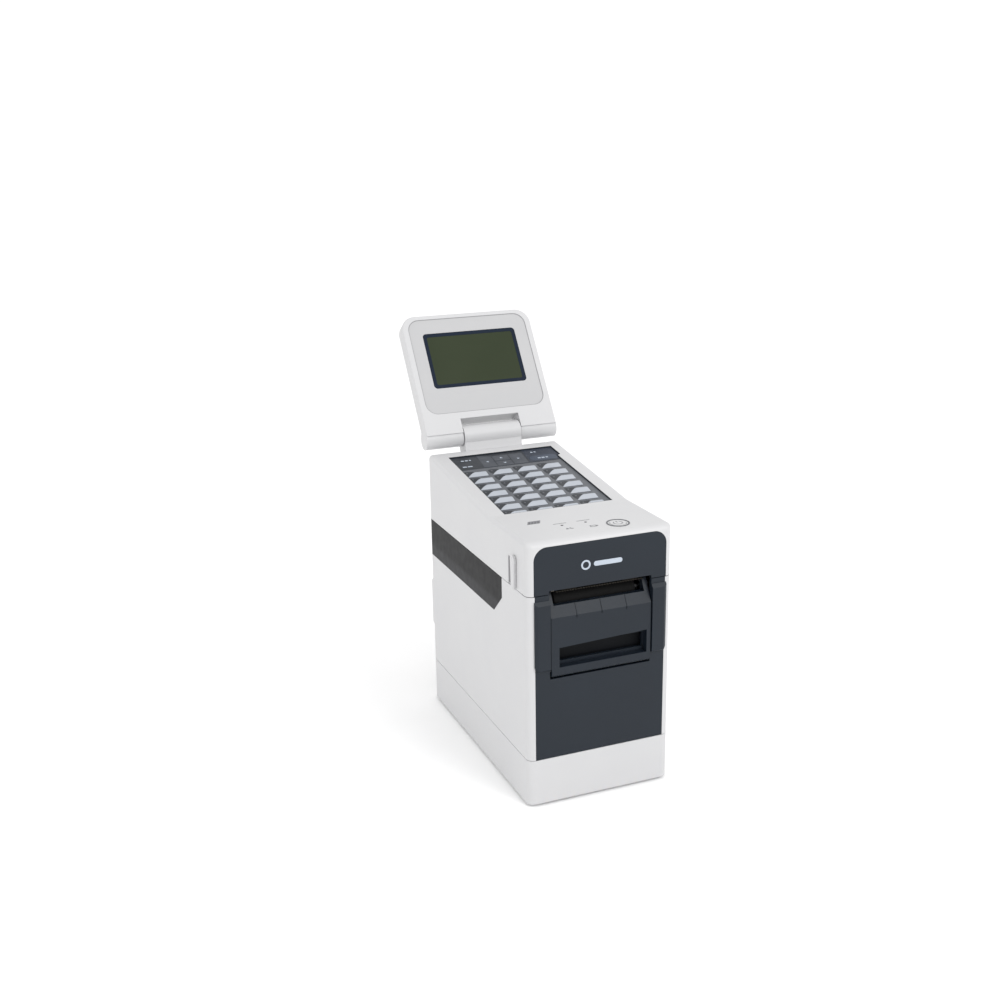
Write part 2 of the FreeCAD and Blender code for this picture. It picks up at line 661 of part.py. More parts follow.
def finger_cups():
    """Grey cups behind the release levers, where fingers reach in."""
    outer = box(49.8, HALF - 0.3, *CUP_Y, COVER_BOTTOM, CUP_Z)
    hollow = box(50.8, HALF + 1, CUP_Y[0] + 1, CUP_Y[1] - 1, COVER_BOTTOM + 1, CUP_Z - 1)
    return both(cut(outer, hollow))


def sensor_window(z0, z1):
    """Slanted window of the light sensor on the front strip."""
    return prism_z([(-37.5, -60.6), (-28.0, -60.6), (-26.6, -57.6), (-36.1, -57.6)], z0, z1)


def cover_front_panel():
    """Dark inset in the cover's front, cut away over the door for the tear bar."""
    panel = front_opening(FRONT_Y + 0.3, FRONT_Y + WALL)
    return cut(panel, box(-38.8, 38.8, -102, -97, COVER_BOTTOM - 1, COVER_BOTTOM + 2.2))


def cover_badge():
    """Plain raised badge: a ring and a bar."""
    ring = cut(rod_y(3.5, FRONT_Y, FRONT_Y + 0.3, -11.5, 174.9), rod_y(2.3, -101, -99, -11.5, 174.9))
    bar = plate_y(-5.5, 16.0, FRONT_Y, FRONT_Y + 0.3, 173.2, 176.6, 1.6)
    return Part.makeCompound([ring, bar])


def head_frame():
    """Steel frame under the cover that holds the head's pivots."""
    plate = box(-39.5, 39.5, -94, -57, 172.5, 174)
    ear = box(38.0, 39.5, -67, -57, 162.5, 174)
    frame = fused(plate, ear, mirrored(ear))
    return cut(frame, rod_x(1.5 + RUNNING, -45, 45, *HEAD_AXIS))


def tear_bar():
    """Serrated blade above the label slot, with two tabs on the cover's front."""
    pitch = 2.0
    half = 33.0
    front = []
    for tooth in range(int(2 * half / pitch)):
        x = -half + tooth * pitch
        front += [(x, -97.8), (x + pitch / 2, -98.8)]
    blade = prism_z(front + [(half, -97.8), (half, -92.5), (-half, -92.5)], 157.8, 158.6)
    tab = box(18, 28, -97.5, -96.5, 158.0, 166)
    return fused(blade, tab, mirrored(tab))


def touch_panel():
    """Flat touch panel on the floor of the keypad recess."""
    return on_deck(box(-42.4, 42.4, KEYPAD_START + 0.3, KEYPAD_END - 0.3, -2.5, -1.5))


def key_sheet():
    """Printed key sheet over the touch panel, with a pull tab in the recess's notch."""
    sheet = box(-42.4, 42.4, KEYPAD_START + 0.3, KEYPAD_END - 0.3, -1.5, -1.1)
    return on_deck(fused(sheet, box(42.0, TAB_X - 0.3, 99.8, KEYPAD_END - 0.3, -1.5, -1.1)))


def key_tiles():
    """Light key fields, seven rows of four; the front row is partly under the recess's rim."""
    key = [(0, 0), (16.4, 0), (16.6, 10.2), (9.4, 10.2), (8.2, 9.6)]
    window = box(-42.3, 42.3, KEYPAD_START + 0.3, KEYPAD_END, -1.1, -0.8)
    tiles = []
    for row in range(KEY_ROWS):
        for column in range(KEY_COLUMNS):
            x = -41.7 + column * KEY_PITCH_X
            s = -2.3 + row * KEY_PITCH_S
            tile = prism_z([(x + dx, s + ds) for dx, ds in key], -1.1, -0.8)
            tiles.append(tile.common(window).Solids[0])
    return Part.makeCompound([on_deck(tile) for tile in tiles])


def control_board():
    """Circuit board under the front strip, with the switch below the button."""
    board = box(-46, 46, -95, -36, 183.0, 184.6)
    x, y = BUTTON_PLACE
    switch = box(x - 3, x + 3, y - 3, y + 3, 184.6, 185.2)
    lamps = [rod_z(1.6, 184.6, 190.0, lx, ly) for lx, ly in LAMP_PLACES]
    chip = box(-24, -10, -56, -42, 184.6, 186.4)
    holes = [rod_z(3.0, 180, 190, bx, by) for bx, by in BOSS_PLACES]
    return cut(fused(board, switch, chip, *lamps), *holes)


def power_ring():
    """Raised ring round the power button."""
    tube = rod_z(7.5, STRIP_Z, STRIP_Z + 0.3, *BUTTON_PLACE)
    return cut(tube, rod_z(6.1, STRIP_Z - 1, STRIP_Z + 1, *BUTTON_PLACE))


def power_button():
    """Round button with its collar and stem."""
    cap = rod_z(5.7, 191.5, STRIP_Z + 0.2, *BUTTON_PLACE)
    collar = rod_z(6.8, 190.4, 191.6, *BUTTON_PLACE)
    return fused(cap, collar, rod_z(2.0, 186.3, 190.5, *BUTTON_PLACE))


def indicator_lenses():
    """Two lamp lenses and the light sensor's window in the front strip."""
    lenses = [rod_z(1.0, 192.0, STRIP_Z + 0.1, x, y) for x, y in LAMP_PLACES]
    return Part.makeCompound(lenses + [sensor_window(STRIP_Z - WALL, STRIP_Z - 0.1)])


# ---- Print head ---------------------------------------------------------------------------------
def head_bracket():
    """Pivoting plate that carries the head, with a trunnion at each side."""
    plate = box(-37.4, 37.4, -91, -58.5, 159.5, 161.0)
    ear = box(35.9, 37.4, -66, -58.5, 160.0, 169.0)
    pin = rod_x(1.5, 35.9, 40.5, *HEAD_AXIS)
    return fused(plate, ear, mirrored(ear), pin, mirrored(pin))


def heat_sink():
    """Finned aluminium block above the head."""
    block = box(-33, 33, -90, -74, 157.0, 159.5)
    slots = [box(x, x + 1.0, -91, -73, 157.8, 160) for x in range(-31, 32, 3)]
    return cut(block, *slots)


def print_head():
    """Ceramic print head with its heating line over the platen."""
    y = PLATEN_AXIS[0]
    plate = box(-33, 33, -90, -74, 155.6, 157.0)
    line = prism_x([(y - 2, 155.6), (y - 0.8, 155.0), (y + 0.8, 155.0), (y + 2, 155.6)], -31, 31)
    return fused(plate, line)


def head_springs():
    """Two coil springs that press the head down, of eight-sided wire."""
    wire_r = 0.45
    coil_r = 3.0
    angles = [math.pi / 4 * (flat + 0.5) for flat in range(8)]
    corners = [Vector(coil_r + wire_r * math.cos(a), 0, wire_r * math.sin(a)) for a in angles]
    section = Part.makePolygon(corners + corners[:1])
    springs = []
    for x in (-20.0, 20.0):
        coil = Part.makeHelix(2.2, 10.4, coil_r)
        spring = Part.Wire(coil.Edges).makePipeShell([section], True, True)
        spring.translate(Vector(x, -84, 161.0 + wire_r + 0.1))
        springs.append(spring)
    return Part.makeCompound(springs)


# ---- Release levers -----------------------------------------------------------------------------
def release_levers():
    """Two levers on the cover's sides, rounded round the shaft."""
    y, z = LEVER_AXIS
    arm = prism_x([(-81.7, 158.4), (-76.4, 158.4), (-75.6, z), (-82.4, z)], 55.3, 57.0)
    lever = fused(arm, rod_x(3.6, 55.3, 57.0, y, z))
    return both(cut(lever, rod_x(2.5, 50, 56.4, y, z)))


def release_shaft():
    """Cross shaft with a hook at each end for the latch pins."""
    y, z = LEVER_AXIS
    shaft = rod_x(2.5, -56.4, 56.4, y, z)
    pin_y, pin_z = LATCH_PIN
    hook = prism_x(
        [(y - 3, z), (y + 3, z), (y + 3, pin_z + 4), (pin_y - 2.3, pin_z + 3), (pin_y - 2.3, pin_z - 3.5),
         (y + 1, pin_z - 4.5), (y - 3, pin_z)],
        47.2, 49.2,
    )
    hub = rod_x(5.0, 47.2, 49.2, y, z)
    return fused(shaft, hook, hub, mirrored(hook), mirrored(hub))


# ---- Display ------------------------------------------------------------------------------------
def display_arm():
    """Fixed arm at the cover's rear that carries the display's hinge."""
    y, z = DISPLAY_AXIS
    side = [(93.0, 206.0), (95.2, z - 3.2), (y, z), (y + 8.9, z - 1.6), (REAR_Y, 193.0), (99.0, 193.0)]
    arm = fused(prism_x(side, -ARM_HALF, ARM_HALF), rod_x(ARM_R, -ARM_HALF, ARM_HALF, y, z))
    return cut(arm, rod_x(2.5, -40, 40, y, z), cover_block(0, HALF))


def display_hinge_pin():
    """Steel pin through the arm and the display's barrels."""
    return rod_x(2.5, -52, 52, *DISPLAY_AXIS)


def display_housing():
    """Solid display housing, drawn upright about its hinge, with soft edges front and back."""
    slab = box(-DISPLAY_HALF, DISPLAY_HALF, -DISPLAY_FRONT, DISPLAY_BACK, 0, DISPLAY_TOP)
    top_edges = [e for e in slab.Edges if is_along(e, Vector(0, 1, 0)) and e.BoundBox.ZMin > 50]
    slab = slab.makeFillet(12.0, top_edges)
    slab = slab.makeFillet(4.0, outline_edges(slab, DISPLAY_BACK))
    slab = slab.makeFillet(1.2, outline_edges(slab, -DISPLAY_FRONT))
    return fused(slab, rod_x(BARREL_R, -DISPLAY_HALF, DISPLAY_HALF, 0, 0))


def outline_edges(slab, y):
    """Edges of the slab's outline at one depth, without the bottom one."""
    return [
        e for e in slab.Edges
        if abs(e.BoundBox.YMin - y) < 0.01 and abs(e.BoundBox.YMax - y) < 0.01 and e.BoundBox.ZMax > 1
    ]


def display_halves():
    """Front and back shells of the display."""
    housing = display_housing()
    notch = box(-NOTCH_HALF, NOTCH_HALF, -20, 20, -20, NOTCH_TOP)
    hollow = box(-53.6, 53.6, -DISPLAY_FRONT + 2.2, DISPLAY_BACK - 2.2, NOTCH_TOP + 2.2, DISPLAY_TOP - 2.4)
    hollow = rounded(hollow, 9.0, Vector(0, 1, 0))
    pin = rod_x(2.5 + RUNNING, -52.3, 52.3, 0, 0)
    body = cut(housing, notch, hollow, pin)
    front_space = box(-60, 60, -20, DISPLAY_SPLIT, -20, 120)
    back_space = box(-60, 60, DISPLAY_SPLIT, 20, -20, 120)
    aperture = plate_y(-51.2, 51.2, -12, -5, 17.5, 101.0, 9.8)
    front = cut(body.common(front_space), aperture)
    return front, body.common(back_space)


def display_front():
    """Front shell of the display."""
    return on_display(display_halves()[0])


def display_back():
    """Back shell of the display, with the hinge barrels."""
    return on_display(display_halves()[1])


def display_bezel():
    """Grey inset panel round the screen."""
    panel = plate_y(-51.2, 51.2, -8.5, -6.9, 17.5, 101.0, 9.8)
    return on_display(cut(panel, plate_y(-40.2, 40.2, -10, -5, 39.6, 88.3, 3.0)))


def lcd_window():
    """Clear window over the screen, dark round its edge."""
    return on_display(plate_y(-40.2, 40.2, -8.2, -6.9, 39.6, 88.3, 3.0))


def lcd_module():
    """Screen module behind the window."""
    return on_display(box(-46, 46, -6.9, -1.0, 33, 94))


# ---- Export -------------------------------------------------------------------------------------
def build():
    """All pieces by node name."""
    platen_phase, idler_phase, _ = gear_phases()
    left = case_side_left()
    guide = roll_guide_left()
    return {
        "base_housing": base_housing(),
        "battery_pack": battery_pack(),
        "feet": feet(),
        "case_screws": case_screws(),
        "chassis": chassis(),
        "case_left": left,
        "case_right": mirrored(left),
        "case_rear": case_rear(),
        "window_bands": window_bands(),
        "front_panel": front_panel(),
        "front_wings": front_wings(),
        "interface_housing": interface_housing(),
        "power_inlet": power_inlet(),
        "usb_socket": usb_socket(),
        "network_socket": network_socket(),
        "main_board": main_board(),
        "roll_tub": roll_tub(),
        "mech_plate_left": mech_plate("left"),
        "mech_plate_right": mech_plate("right"),
        "drive_motor": drive_motor(),
        "latch_pins": latch_pins(),
        "cover_hinge_pins": cover_hinge_pins(),
        "door_hinge_pins": door_hinge_pins(),
        "platen_shaft": platen_shaft(),
        "platen_roller": platen_roller(),
        "platen_gear": involute_gear(PLATEN_TEETH, SHAFT_R, *PLATEN_AXIS, platen_phase),
        "idler_gear": involute_gear(IDLER_TEETH, 2.5 + RUNNING, *IDLER_AXIS, idler_phase),
        "motor_pinion": motor_pinion(),
        "roll_guide_left": guide,
        "roll_guide_right": mirrored(guide),
        "label_roll": label_roll(),
        "roll_core": roll_core(),
        "peeler_door": peeler_door(),
        "peel_roller": peel_roller(),
        "cover_shell": cover_shell(),
        "cover_front_panel": cover_front_panel(),
        "cover_badge": cover_badge(),
        "head_frame": head_frame(),
        "tear_bar": tear_bar(),
        "touch_panel": touch_panel(),
        "key_sheet": key_sheet(),
        "key_tiles": key_tiles(),
        "control_board": control_board(),
        "power_ring": power_ring(),
        "power_button": power_button(),
        "indicator_lenses": indicator_lenses(),
        "finger_cups": finger_cups(),
        "head_bracket": head_bracket(),
        "heat_sink": heat_sink(),
        "print_head": print_head(),
        "head_springs": head_springs(),
        "release_levers": release_levers(),
        "release_shaft": release_shaft(),
        "display_arm": display_arm(),
        "display_hinge_pin": display_hinge_pin(),
        "display_front": display_front(),
        "display_back": display_back(),
        "display_bezel": display_bezel(),
        "lcd_window": lcd_window(),
        "lcd_module": lcd_module(),
    }


def main():
    """Write one STEP file per piece."""
    os.makedirs("parts", exist_ok=True)
    for name, shape in build().items():
        if not shape.isValid() or not shape.Solids:
            raise ValueError(f"{name} is not a valid solid")
        shape.exportStep(f"parts/{name}.step")
        print(f"{name}: {len(shape.Solids)} solids, {shape.Volume:.0f} mm3")


main()
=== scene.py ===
"""Looks of a desktop label maker: finishes for its CAD pieces, the printed keypad and small fittings.

Everything is in metres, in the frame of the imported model: +Z up, X to the right, Y from front to rear.
"""

import json
import logging
import math
from collections.abc import Iterable
from dataclasses import dataclass, field
from enum import Enum

import bmesh
import bpy
from bpy.types import Mesh, Node, NodeOutputs, NodeSocket, NodeTree
from mathutils import Matrix, Vector


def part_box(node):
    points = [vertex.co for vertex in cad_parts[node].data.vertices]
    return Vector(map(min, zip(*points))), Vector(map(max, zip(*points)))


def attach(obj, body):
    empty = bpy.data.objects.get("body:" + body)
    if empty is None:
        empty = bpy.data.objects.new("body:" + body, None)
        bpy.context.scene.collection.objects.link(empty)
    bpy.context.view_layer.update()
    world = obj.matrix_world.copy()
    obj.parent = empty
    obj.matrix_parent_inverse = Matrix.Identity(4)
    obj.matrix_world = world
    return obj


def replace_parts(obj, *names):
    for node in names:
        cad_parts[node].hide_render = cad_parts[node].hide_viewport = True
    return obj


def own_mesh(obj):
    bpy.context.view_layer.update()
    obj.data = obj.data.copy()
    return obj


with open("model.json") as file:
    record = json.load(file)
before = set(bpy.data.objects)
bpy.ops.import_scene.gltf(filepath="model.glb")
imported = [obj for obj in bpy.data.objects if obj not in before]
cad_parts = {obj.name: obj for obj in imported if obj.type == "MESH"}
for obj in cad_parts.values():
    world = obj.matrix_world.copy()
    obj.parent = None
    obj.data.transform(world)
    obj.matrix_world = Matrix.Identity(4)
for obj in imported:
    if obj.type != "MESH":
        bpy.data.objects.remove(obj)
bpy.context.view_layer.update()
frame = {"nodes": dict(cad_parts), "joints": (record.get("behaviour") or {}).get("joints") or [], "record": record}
MM = 0.001
# Below this height the smoked windows are painted lighter: a painted highlight for the lit ledge behind them.
WINDOW_LEDGE = 0.137  # height of the ledge behind the smoked windows
LOG = logging.getLogger("label_maker")

Point = tuple[float, float]
Outline = tuple[Point, ...]
Sockets = tuple[NodeSocket, NodeSocket, NodeSocket]


# ---- Node helpers -------------------------------------------------------------------------------
def linear(colour: str, alpha: float = 1.0) -> tuple[float, float, float, float]:
    """Turn an sRGB hex colour into linear values.

    Args:
        colour: Six hex digits.
        alpha: Fourth value to add.

    Returns:
        Red, green, blue and alpha.
    """
    parts = [int(colour[i:i + 2], 16) / 255 for i in (0, 2, 4)]
    red, green, blue = (c / 12.92 if c <= 0.04045 else ((c + 0.055) / 1.055) ** 2.4 for c in parts)
    return red, green, blue, alpha


def add_node(tree: NodeTree, kind: str, settings: dict | None = None,
             inputs: dict | None = None) -> Node:
    """Add a node, with its settings, values and links.

    Args:
        tree: Tree that gets the node.
        kind: Blender's name for the node type.
        settings: Attributes to set.
        inputs: Socket name or number to a value, or to the socket that feeds it.

    Returns:
        The new node.
    """
    node = tree.nodes.new(kind)
    for name, value in (settings or {}).items():
        setattr(node, name, value)
    for name, value in (inputs or {}).items():
        if isinstance(value, NodeSocket):
            tree.links.new(value, node.inputs[name])
        else:
            node.inputs[name].default_value = value
    return node


# ---- Finishes -----------------------------------------------------------------------------------
class Surface(Enum):
    """How a surface was made, which names the method of Pattern that draws it."""

    MOULDED = "moulded"
    SMOKED = "smoked"
    BRUSHED = "brushed"
    PAPER = "paper"
    PRINTED = "printed"
    SCREEN = "screen"
    BOARD = "board"


@dataclass(frozen=True)
class Finish:
    """One finish of the machine.

    Attributes:
        name: Name of the material and how its surface was made.
        surface: Kind of pattern.
        colour: Main colour, sRGB hex.
        shade: Second colour that the pattern mixes in, sRGB hex.
        roughness: Middle roughness.
        grain_mm: Size of the pattern's fine detail.
        bump_mm: Height of that detail.
        metallic: One for bare metal.
        ior: Index of refraction, for plastics and glass.
        coat: Clear layer on top.
        specular: Share of the surface's mirror reflection; a deep grain traps some of it.
    """

    name: str
    surface: Surface
    colour: str
    shade: str
    roughness: float
    grain_mm: float
    bump_mm: float
    metallic: float = 0.0
    ior: float = 1.5
    coat: float = 0.0
    specular: float = 0.5

    def material(self) -> bpy.types.Material:
        """Make the material, once for each name.

        Returns:
            The material.
        """
        found = bpy.data.materials.get(self.name)
        if found:
            return found
        material = bpy.data.materials.new(self.name)
        material.use_nodes = True
        tree = material.node_tree
        tree.nodes.clear()
        shader = add_node(tree, "ShaderNodeBsdfPrincipled", None, {
            "Metallic": self.metallic, "IOR": self.ior, "Coat Weight": self.coat, "Coat Roughness": 0.08,
            "Specular IOR Level": self.specular})
        add_node(tree, "ShaderNodeOutputMaterial", None, {"Surface": shader.outputs[0]})
        place = add_node(tree, "ShaderNodeTexCoord").outputs["Object"]
        fac, height, rough = getattr(Pattern(self, tree, place), self.surface.value)()
        colour = add_node(tree, "ShaderNodeMix", {"data_type": "RGBA"}, {
            "Factor": fac, 6: linear(self.colour), 7: linear(self.shade)})
        tree.links.new(colour.outputs[2], shader.inputs["Base Color"])
        tree.links.new(rough, shader.inputs["Roughness"])
        bump = add_node(tree, "ShaderNodeBump", None, {
            "Strength": 0.6, "Distance": self.bump_mm * MM, "Height": height})
        tree.links.new(bump.outputs[0], shader.inputs["Normal"])
        return material


@dataclass
class Pattern:
    """Pattern of a finish, in its material's tree.

    Each method that has a surface's name returns the sockets of the colour factor, height and roughness.

    Attributes:
        finish: The finish.
        tree: Its material's tree.
        place: Object coordinates.
    """

    finish: Finish
    tree: NodeTree
    place: NodeSocket

    def add(self, kind: str, settings: dict | None, inputs: dict) -> Node:
        """Add a shader node.

        Args:
            kind: Its type, without the leading word.
            settings: Attributes to set.
            inputs: Socket name or number to a value or a socket.

        Returns:
            The node.
        """
        return add_node(self.tree, f"ShaderNode{kind}", settings, inputs)

    def noise(self, size_mm: float, detail: float = 2.0, place: NodeSocket | None = None) -> NodeSocket:
        """Noise with features of a real size.

        Args:
            size_mm: Feature size.
            detail: Octaves.
            place: Coordinates, if not the object's own.

        Returns:
            The factor socket.
        """
        node = self.add("TexNoise", None, {
            "Vector": place or self.place, "Scale": 1 / (size_mm * MM), "Detail": detail, "Roughness": 0.55})
        return node.outputs["Fac"]

    def spread(self, value: NodeSocket, low: float, high: float) -> NodeSocket:
        """Stretch a noise factor over a range.

        Args:
            value: Factor, mostly between 0.3 and 0.7.
            low: Result at the low end.
            high: Result at the high end.

        Returns:
            The result socket.
        """
        node = self.add("MapRange", None, {
            "Value": value, "From Min": 0.3, "From Max": 0.7, "To Min": low, "To Max": high})
        return node.outputs[0]

    def rough(self, value: NodeSocket, below: float, above: float) -> NodeSocket:
        """Stretch a noise factor round the finish's roughness.

        Args:
            value: Factor.
            below: Step down to the result at the low end.
            above: Step up to the result at the high end.

        Returns:
            The roughness socket.
        """
        return self.spread(value, self.finish.roughness - below, self.finish.roughness + above)

    def moulded(self) -> Sockets:
        """Spark-eroded grain of a moulded part, with faint flow shading over tens of millimetres."""
        grain = self.noise(self.finish.grain_mm)
        flow = self.noise(38.0, 3.0)
        return self.spread(flow, 0.0, 0.55), grain, self.rough(grain, 0.07, 0.07)

    def smoked(self) -> Sockets:
        """Smoked window, with a painted highlight: a paler band low down, for the light that the ledge behind it
        catches.
        """
        height = self.add("SeparateXYZ", None, {"Vector": self.place}).outputs["Z"]
        # Painted highlight: the colour turns paler below the ledge's height.
        painted_ledge_highlight = self.add("MapRange", {"interpolation_type": "SMOOTHSTEP"}, {
            "Value": height, "From Min": WINDOW_LEDGE + 0.0025, "From Max": WINDOW_LEDGE - 0.0025,
            "To Min": 0.0, "To Max": 1.0})
        wave = self.noise(self.finish.grain_mm, 1.0)
        return painted_ledge_highlight.outputs[0], wave, self.rough(wave, 0.04, 0.05)

    def brushed(self) -> Sockets:
        """Drawing lines along X, as on rolled and turned steel."""
        lines = self.add("Mapping", None, {"Vector": self.place, "Scale": (0.03, 1.0, 1.0)})
        grain = self.noise(self.finish.grain_mm, 3.0, lines.outputs[0])
        return self.spread(grain, 0.0, 0.6), grain, self.rough(grain, 0.08, 0.1)

    def paper(self) -> Sockets:
        """Wound stock: fine rings about the roll's axis on its ends, fibres on its face."""
        axis = joint_place("roll_spin")
        centred = self.add("Mapping", None, {"Vector": self.place, "Location": tuple(-axis)})
        rings = self.add("TexWave", {"wave_type": "RINGS", "rings_direction": "X"}, {
            "Vector": centred.outputs[0], "Scale": 1 / (self.finish.grain_mm * MM * math.tau),
            "Distortion": 0.4, "Detail": 1.0})
        fibre = self.noise(0.8)
        return rings.outputs["Fac"], fibre, self.rough(fibre, 0.05, 0.05)

    def printed(self) -> Sockets:
        """Printed polyester film: a fine dimple and slight unevenness of the ink."""
        dimple = self.add("TexVoronoi", None, {
            "Vector": self.place, "Scale": 1 / (self.finish.grain_mm * MM)})
        ink = self.noise(9.0)
        return self.spread(ink, 0.0, 0.5), dimple.outputs["Distance"], self.rough(ink, 0.04, 0.06)

    def screen(self) -> Sockets:
        """Reflective screen at rest: dots on a square pitch, a little lighter between them."""
        across = self.add("SeparateXYZ", None, {"Vector": self.place})
        waves = []
        for axis in ("X", "Z"):
            turned = self.add("Math", {"operation": "MULTIPLY"}, {
                0: across.outputs[axis], 1: math.tau / (self.finish.grain_mm * MM)})
            waves.append(self.add("Math", {"operation": "COSINE"}, {0: turned.outputs[0]}))
        top = self.add("Math", {"operation": "MAXIMUM"}, {
            0: waves[0].outputs[0], 1: waves[1].outputs[0]})
        line = self.add("MapRange", None, {
            "Value": top.outputs[0], "From Min": 0.75, "From Max": 1.0, "To Min": 0.0, "To Max": 0.35})
        cloud = self.noise(45.0)
        mixed = self.add("Math", {"operation": "MULTIPLY_ADD"}, {
            0: cloud, 1: 0.5, 2: line.outputs[0]})
        return mixed.outputs[0], cloud, self.rough(cloud, 0.02, 0.03)

    def board(self) -> Sockets:
        """Solder mask with copper tracks under it."""
        tracks = self.add("TexBrick", None, {
            "Vector": self.place, "Scale": 1 / (self.finish.grain_mm * MM), "Mortar Size": 0.06})
        fine = self.noise(1.5)
        return tracks.outputs["Fac"], tracks.outputs["Fac"], self.rough(fine, 0.05, 0.08)


def film(name: str, colour: str, shade: str, roughness: float = 0.38, specular: float = 0.22) -> Finish:
    """Printed polyester film of the keypad: a soft sheen over flat ink, with fine dimples."""
    return Finish(f"printed_film_{name}", Surface.PRINTED, colour, shade, roughness, 0.9, 0.012, ior=1.57,
                  specular=specular)


def ink(name: str, colour: str, shade: str, roughness: float = 0.55) -> Finish:
    """Screen-printed ink: nearly flat, slightly uneven."""
    return Finish(f"screen_printed_{name}_ink", Surface.PRINTED, colour, shade, roughness, 0.6, 0.006)


# White ABS, moulded with a fine spark grain: soft satin, almost neutral.
WHITE_ABS = Finish("white_abs_moulded", Surface.MOULDED, "c5c5c6", "c1c1c3", 0.46, 0.45, 0.018, ior=1.53)
# The same plastic in a darker grey, on the screen's bezel and the roll guides: a shade flatter.
GREY_ABS = Finish("pale_grey_abs_moulded", Surface.MOULDED, "b5b5b6", "b1b1b3", 0.5, 0.45, 0.018, ior=1.53)
# Dark blue-grey ABS: matt, with a grain that scatters the light into a soft bloom.
DARK_ABS = Finish("slate_abs_moulded", Surface.MOULDED, "131c26", "101821", 0.45, 0.45, 0.025, ior=1.53,
                  specular=0.32)
# Smoked polycarbonate: dark and smooth, with hardly any mirror image. Its paler second colour is a painted
# highlight low down.
SMOKED_PC = Finish("smoked_polycarbonate_moulded", Surface.SMOKED, "29292a", "38383a", 0.35, 6.0, 0.01,
                   ior=1.585, specular=0.03)
# Nitrile rubber: nearly black, no shine.
RUBBER = Finish("nitrile_rubber", Surface.MOULDED, "121212", "191919", 0.82, 0.8, 0.05, ior=1.52,
                specular=0.2)
# Zinc-plated steel, rolled: grey with fine lines.
STEEL = Finish("zinc_plated_steel", Surface.BRUSHED, "a9acae", "8d9093", 0.34, 0.35, 0.01, metallic=1.0)
# Aluminium, extruded and left bare: paler than the steel, with softer lines.
ALUMINIUM = Finish("extruded_aluminium", Surface.BRUSHED, "c3c5c8", "a6a9ac", 0.38, 0.4, 0.01, metallic=1.0)
# Acetal gear plastic: waxy, off-white.
ACETAL = Finish("acetal_moulded", Surface.MOULDED, "dcdacf", "d2cfc3", 0.42, 0.9, 0.01, ior=1.48)
# Thermal label stock, wound on its core: chalky, with fine rings on its ends.
PAPER = Finish("thermal_label_stock", Surface.PAPER, "efefec", "dcdcd8", 0.62, 0.7, 0.02, ior=1.5)
# Wound cardboard of the core: brown and dull.
CARDBOARD = Finish("wound_cardboard", Surface.PAPER, "9a7f5e", "84694a", 0.8, 0.6, 0.05)
# Glazed alumina of the print head: brown, with a hard gloss.
CERAMIC = Finish("glazed_alumina", Surface.MOULDED, "6b5f4e", "5c5142", 0.2, 3.0, 0.005, ior=1.7)
# Key sheet between the keys: mid grey.
KEY_FILM = film("grey", "5c5f64", "54575c", 0.42, 0.25)
# Dark print at the corner of each key.
KEY_DARK = film("charcoal", "2b2e34", "25282e", 0.4, 0.2)
# Pale print of the keys themselves.
KEY_LIGHT = film("pale_blue", "b0b5bd", "a9aeb7", 0.42, 0.25)
# Function strip: slate middle pads on graphite, and a navy right end with a paler oval.
KEY_SLATE = film("slate", "44484f", "3e4249")
KEY_GRAPHITE = film("graphite", "2c3036", "272b31")
KEY_NAVY = film("navy", "2b323f", "262d3a")
KEY_STEEL = film("steel_blue", "3c4554", "36404f")
# Inks: dark grey on the white strip, light grey for the sensor patch, pale blue on dark film.
GREY_INK = ink("grey", "606265", "595b5f")
LIGHT_INK = ink("light_grey", "7c7c80", "747478")
PALE_INK = ink("pale", "b3bcc8", "a9b2be", 0.45)
# Twisted-nematic screen, unlit: olive, under glass. Its dots are drawn coarse enough to show.
SCREEN = Finish("reflective_screen", Surface.SCREEN, "262f1a", "2f3822", 0.2, 0.9, 0.0005, ior=1.52,
                specular=0.25)
# Acrylic printed on its back: a navy edge with a clear gloss.
SCREEN_EDGE = Finish("back_printed_acrylic", Surface.MOULDED, "0b1a2d", "081626", 0.14, 9.0, 0.002, ior=1.49,
                     specular=0.25)
# Black-oxided steel of the tear bar: dark brown-black with fine lines.
BLADE = Finish("black_oxide_steel", Surface.BRUSHED, "3a3733", "2b2926", 0.35, 0.35, 0.01, metallic=1.0)
# Painted shade of a narrow gap: a soft grey line on pale plastic.
GAP_PAINTED_SHADE = Finish("seam_shadow_grey_abs", Surface.MOULDED, "8f8f91", "88888a", 0.7, 0.6, 0.01, ior=1.53)
# Dark acrylic lens over a lamp: small and glossy.
LENS = Finish("dark_acrylic_lens", Surface.MOULDED, "2c2e31", "25272a", 0.12, 5.0, 0.002, ior=1.49,
              specular=0.2)
# Solder mask over copper: green, with faint raised tracks.
BOARD = Finish("solder_masked_board", Surface.BOARD, "1f5a35", "2f7446", 0.35, 4.0, 0.02)
# Black acetal of the liner guide: smooth, without shine.
GUIDE = Finish("black_acetal_guide", Surface.MOULDED, "0e1013", "121418", 0.5, 0.9, 0.01, ior=1.48,
               specular=0.12)
# Nylon of the sockets: black, matt.
SOCKET = Finish("black_socket_nylon", Surface.MOULDED, "161718", "1d1e1f", 0.55, 0.6, 0.01)
# Black ABS of the battery: dull, with a coarser grain.
BATTERY = Finish("black_abs_moulded", Surface.MOULDED, "26282b", "2d2f33", 0.5, 0.6, 0.03, ior=1.53)
# Plastic of the cup behind each lever, given a flat mid grey as painted shade, so that the recess reads as a
# shadow.
CUP_PAINTED_SHADE = Finish("cup_abs_painted_shade", Surface.MOULDED, "a6a6a8", "9e9ea1", 0.55, 0.6, 0.02, ior=1.53)
# Matt white paper of the floor.
FLOOR = Finish("white_paper_sweep", Surface.MOULDED, "fdfdfd", "fbfbfb", 0.9, 2.0, 0.01)

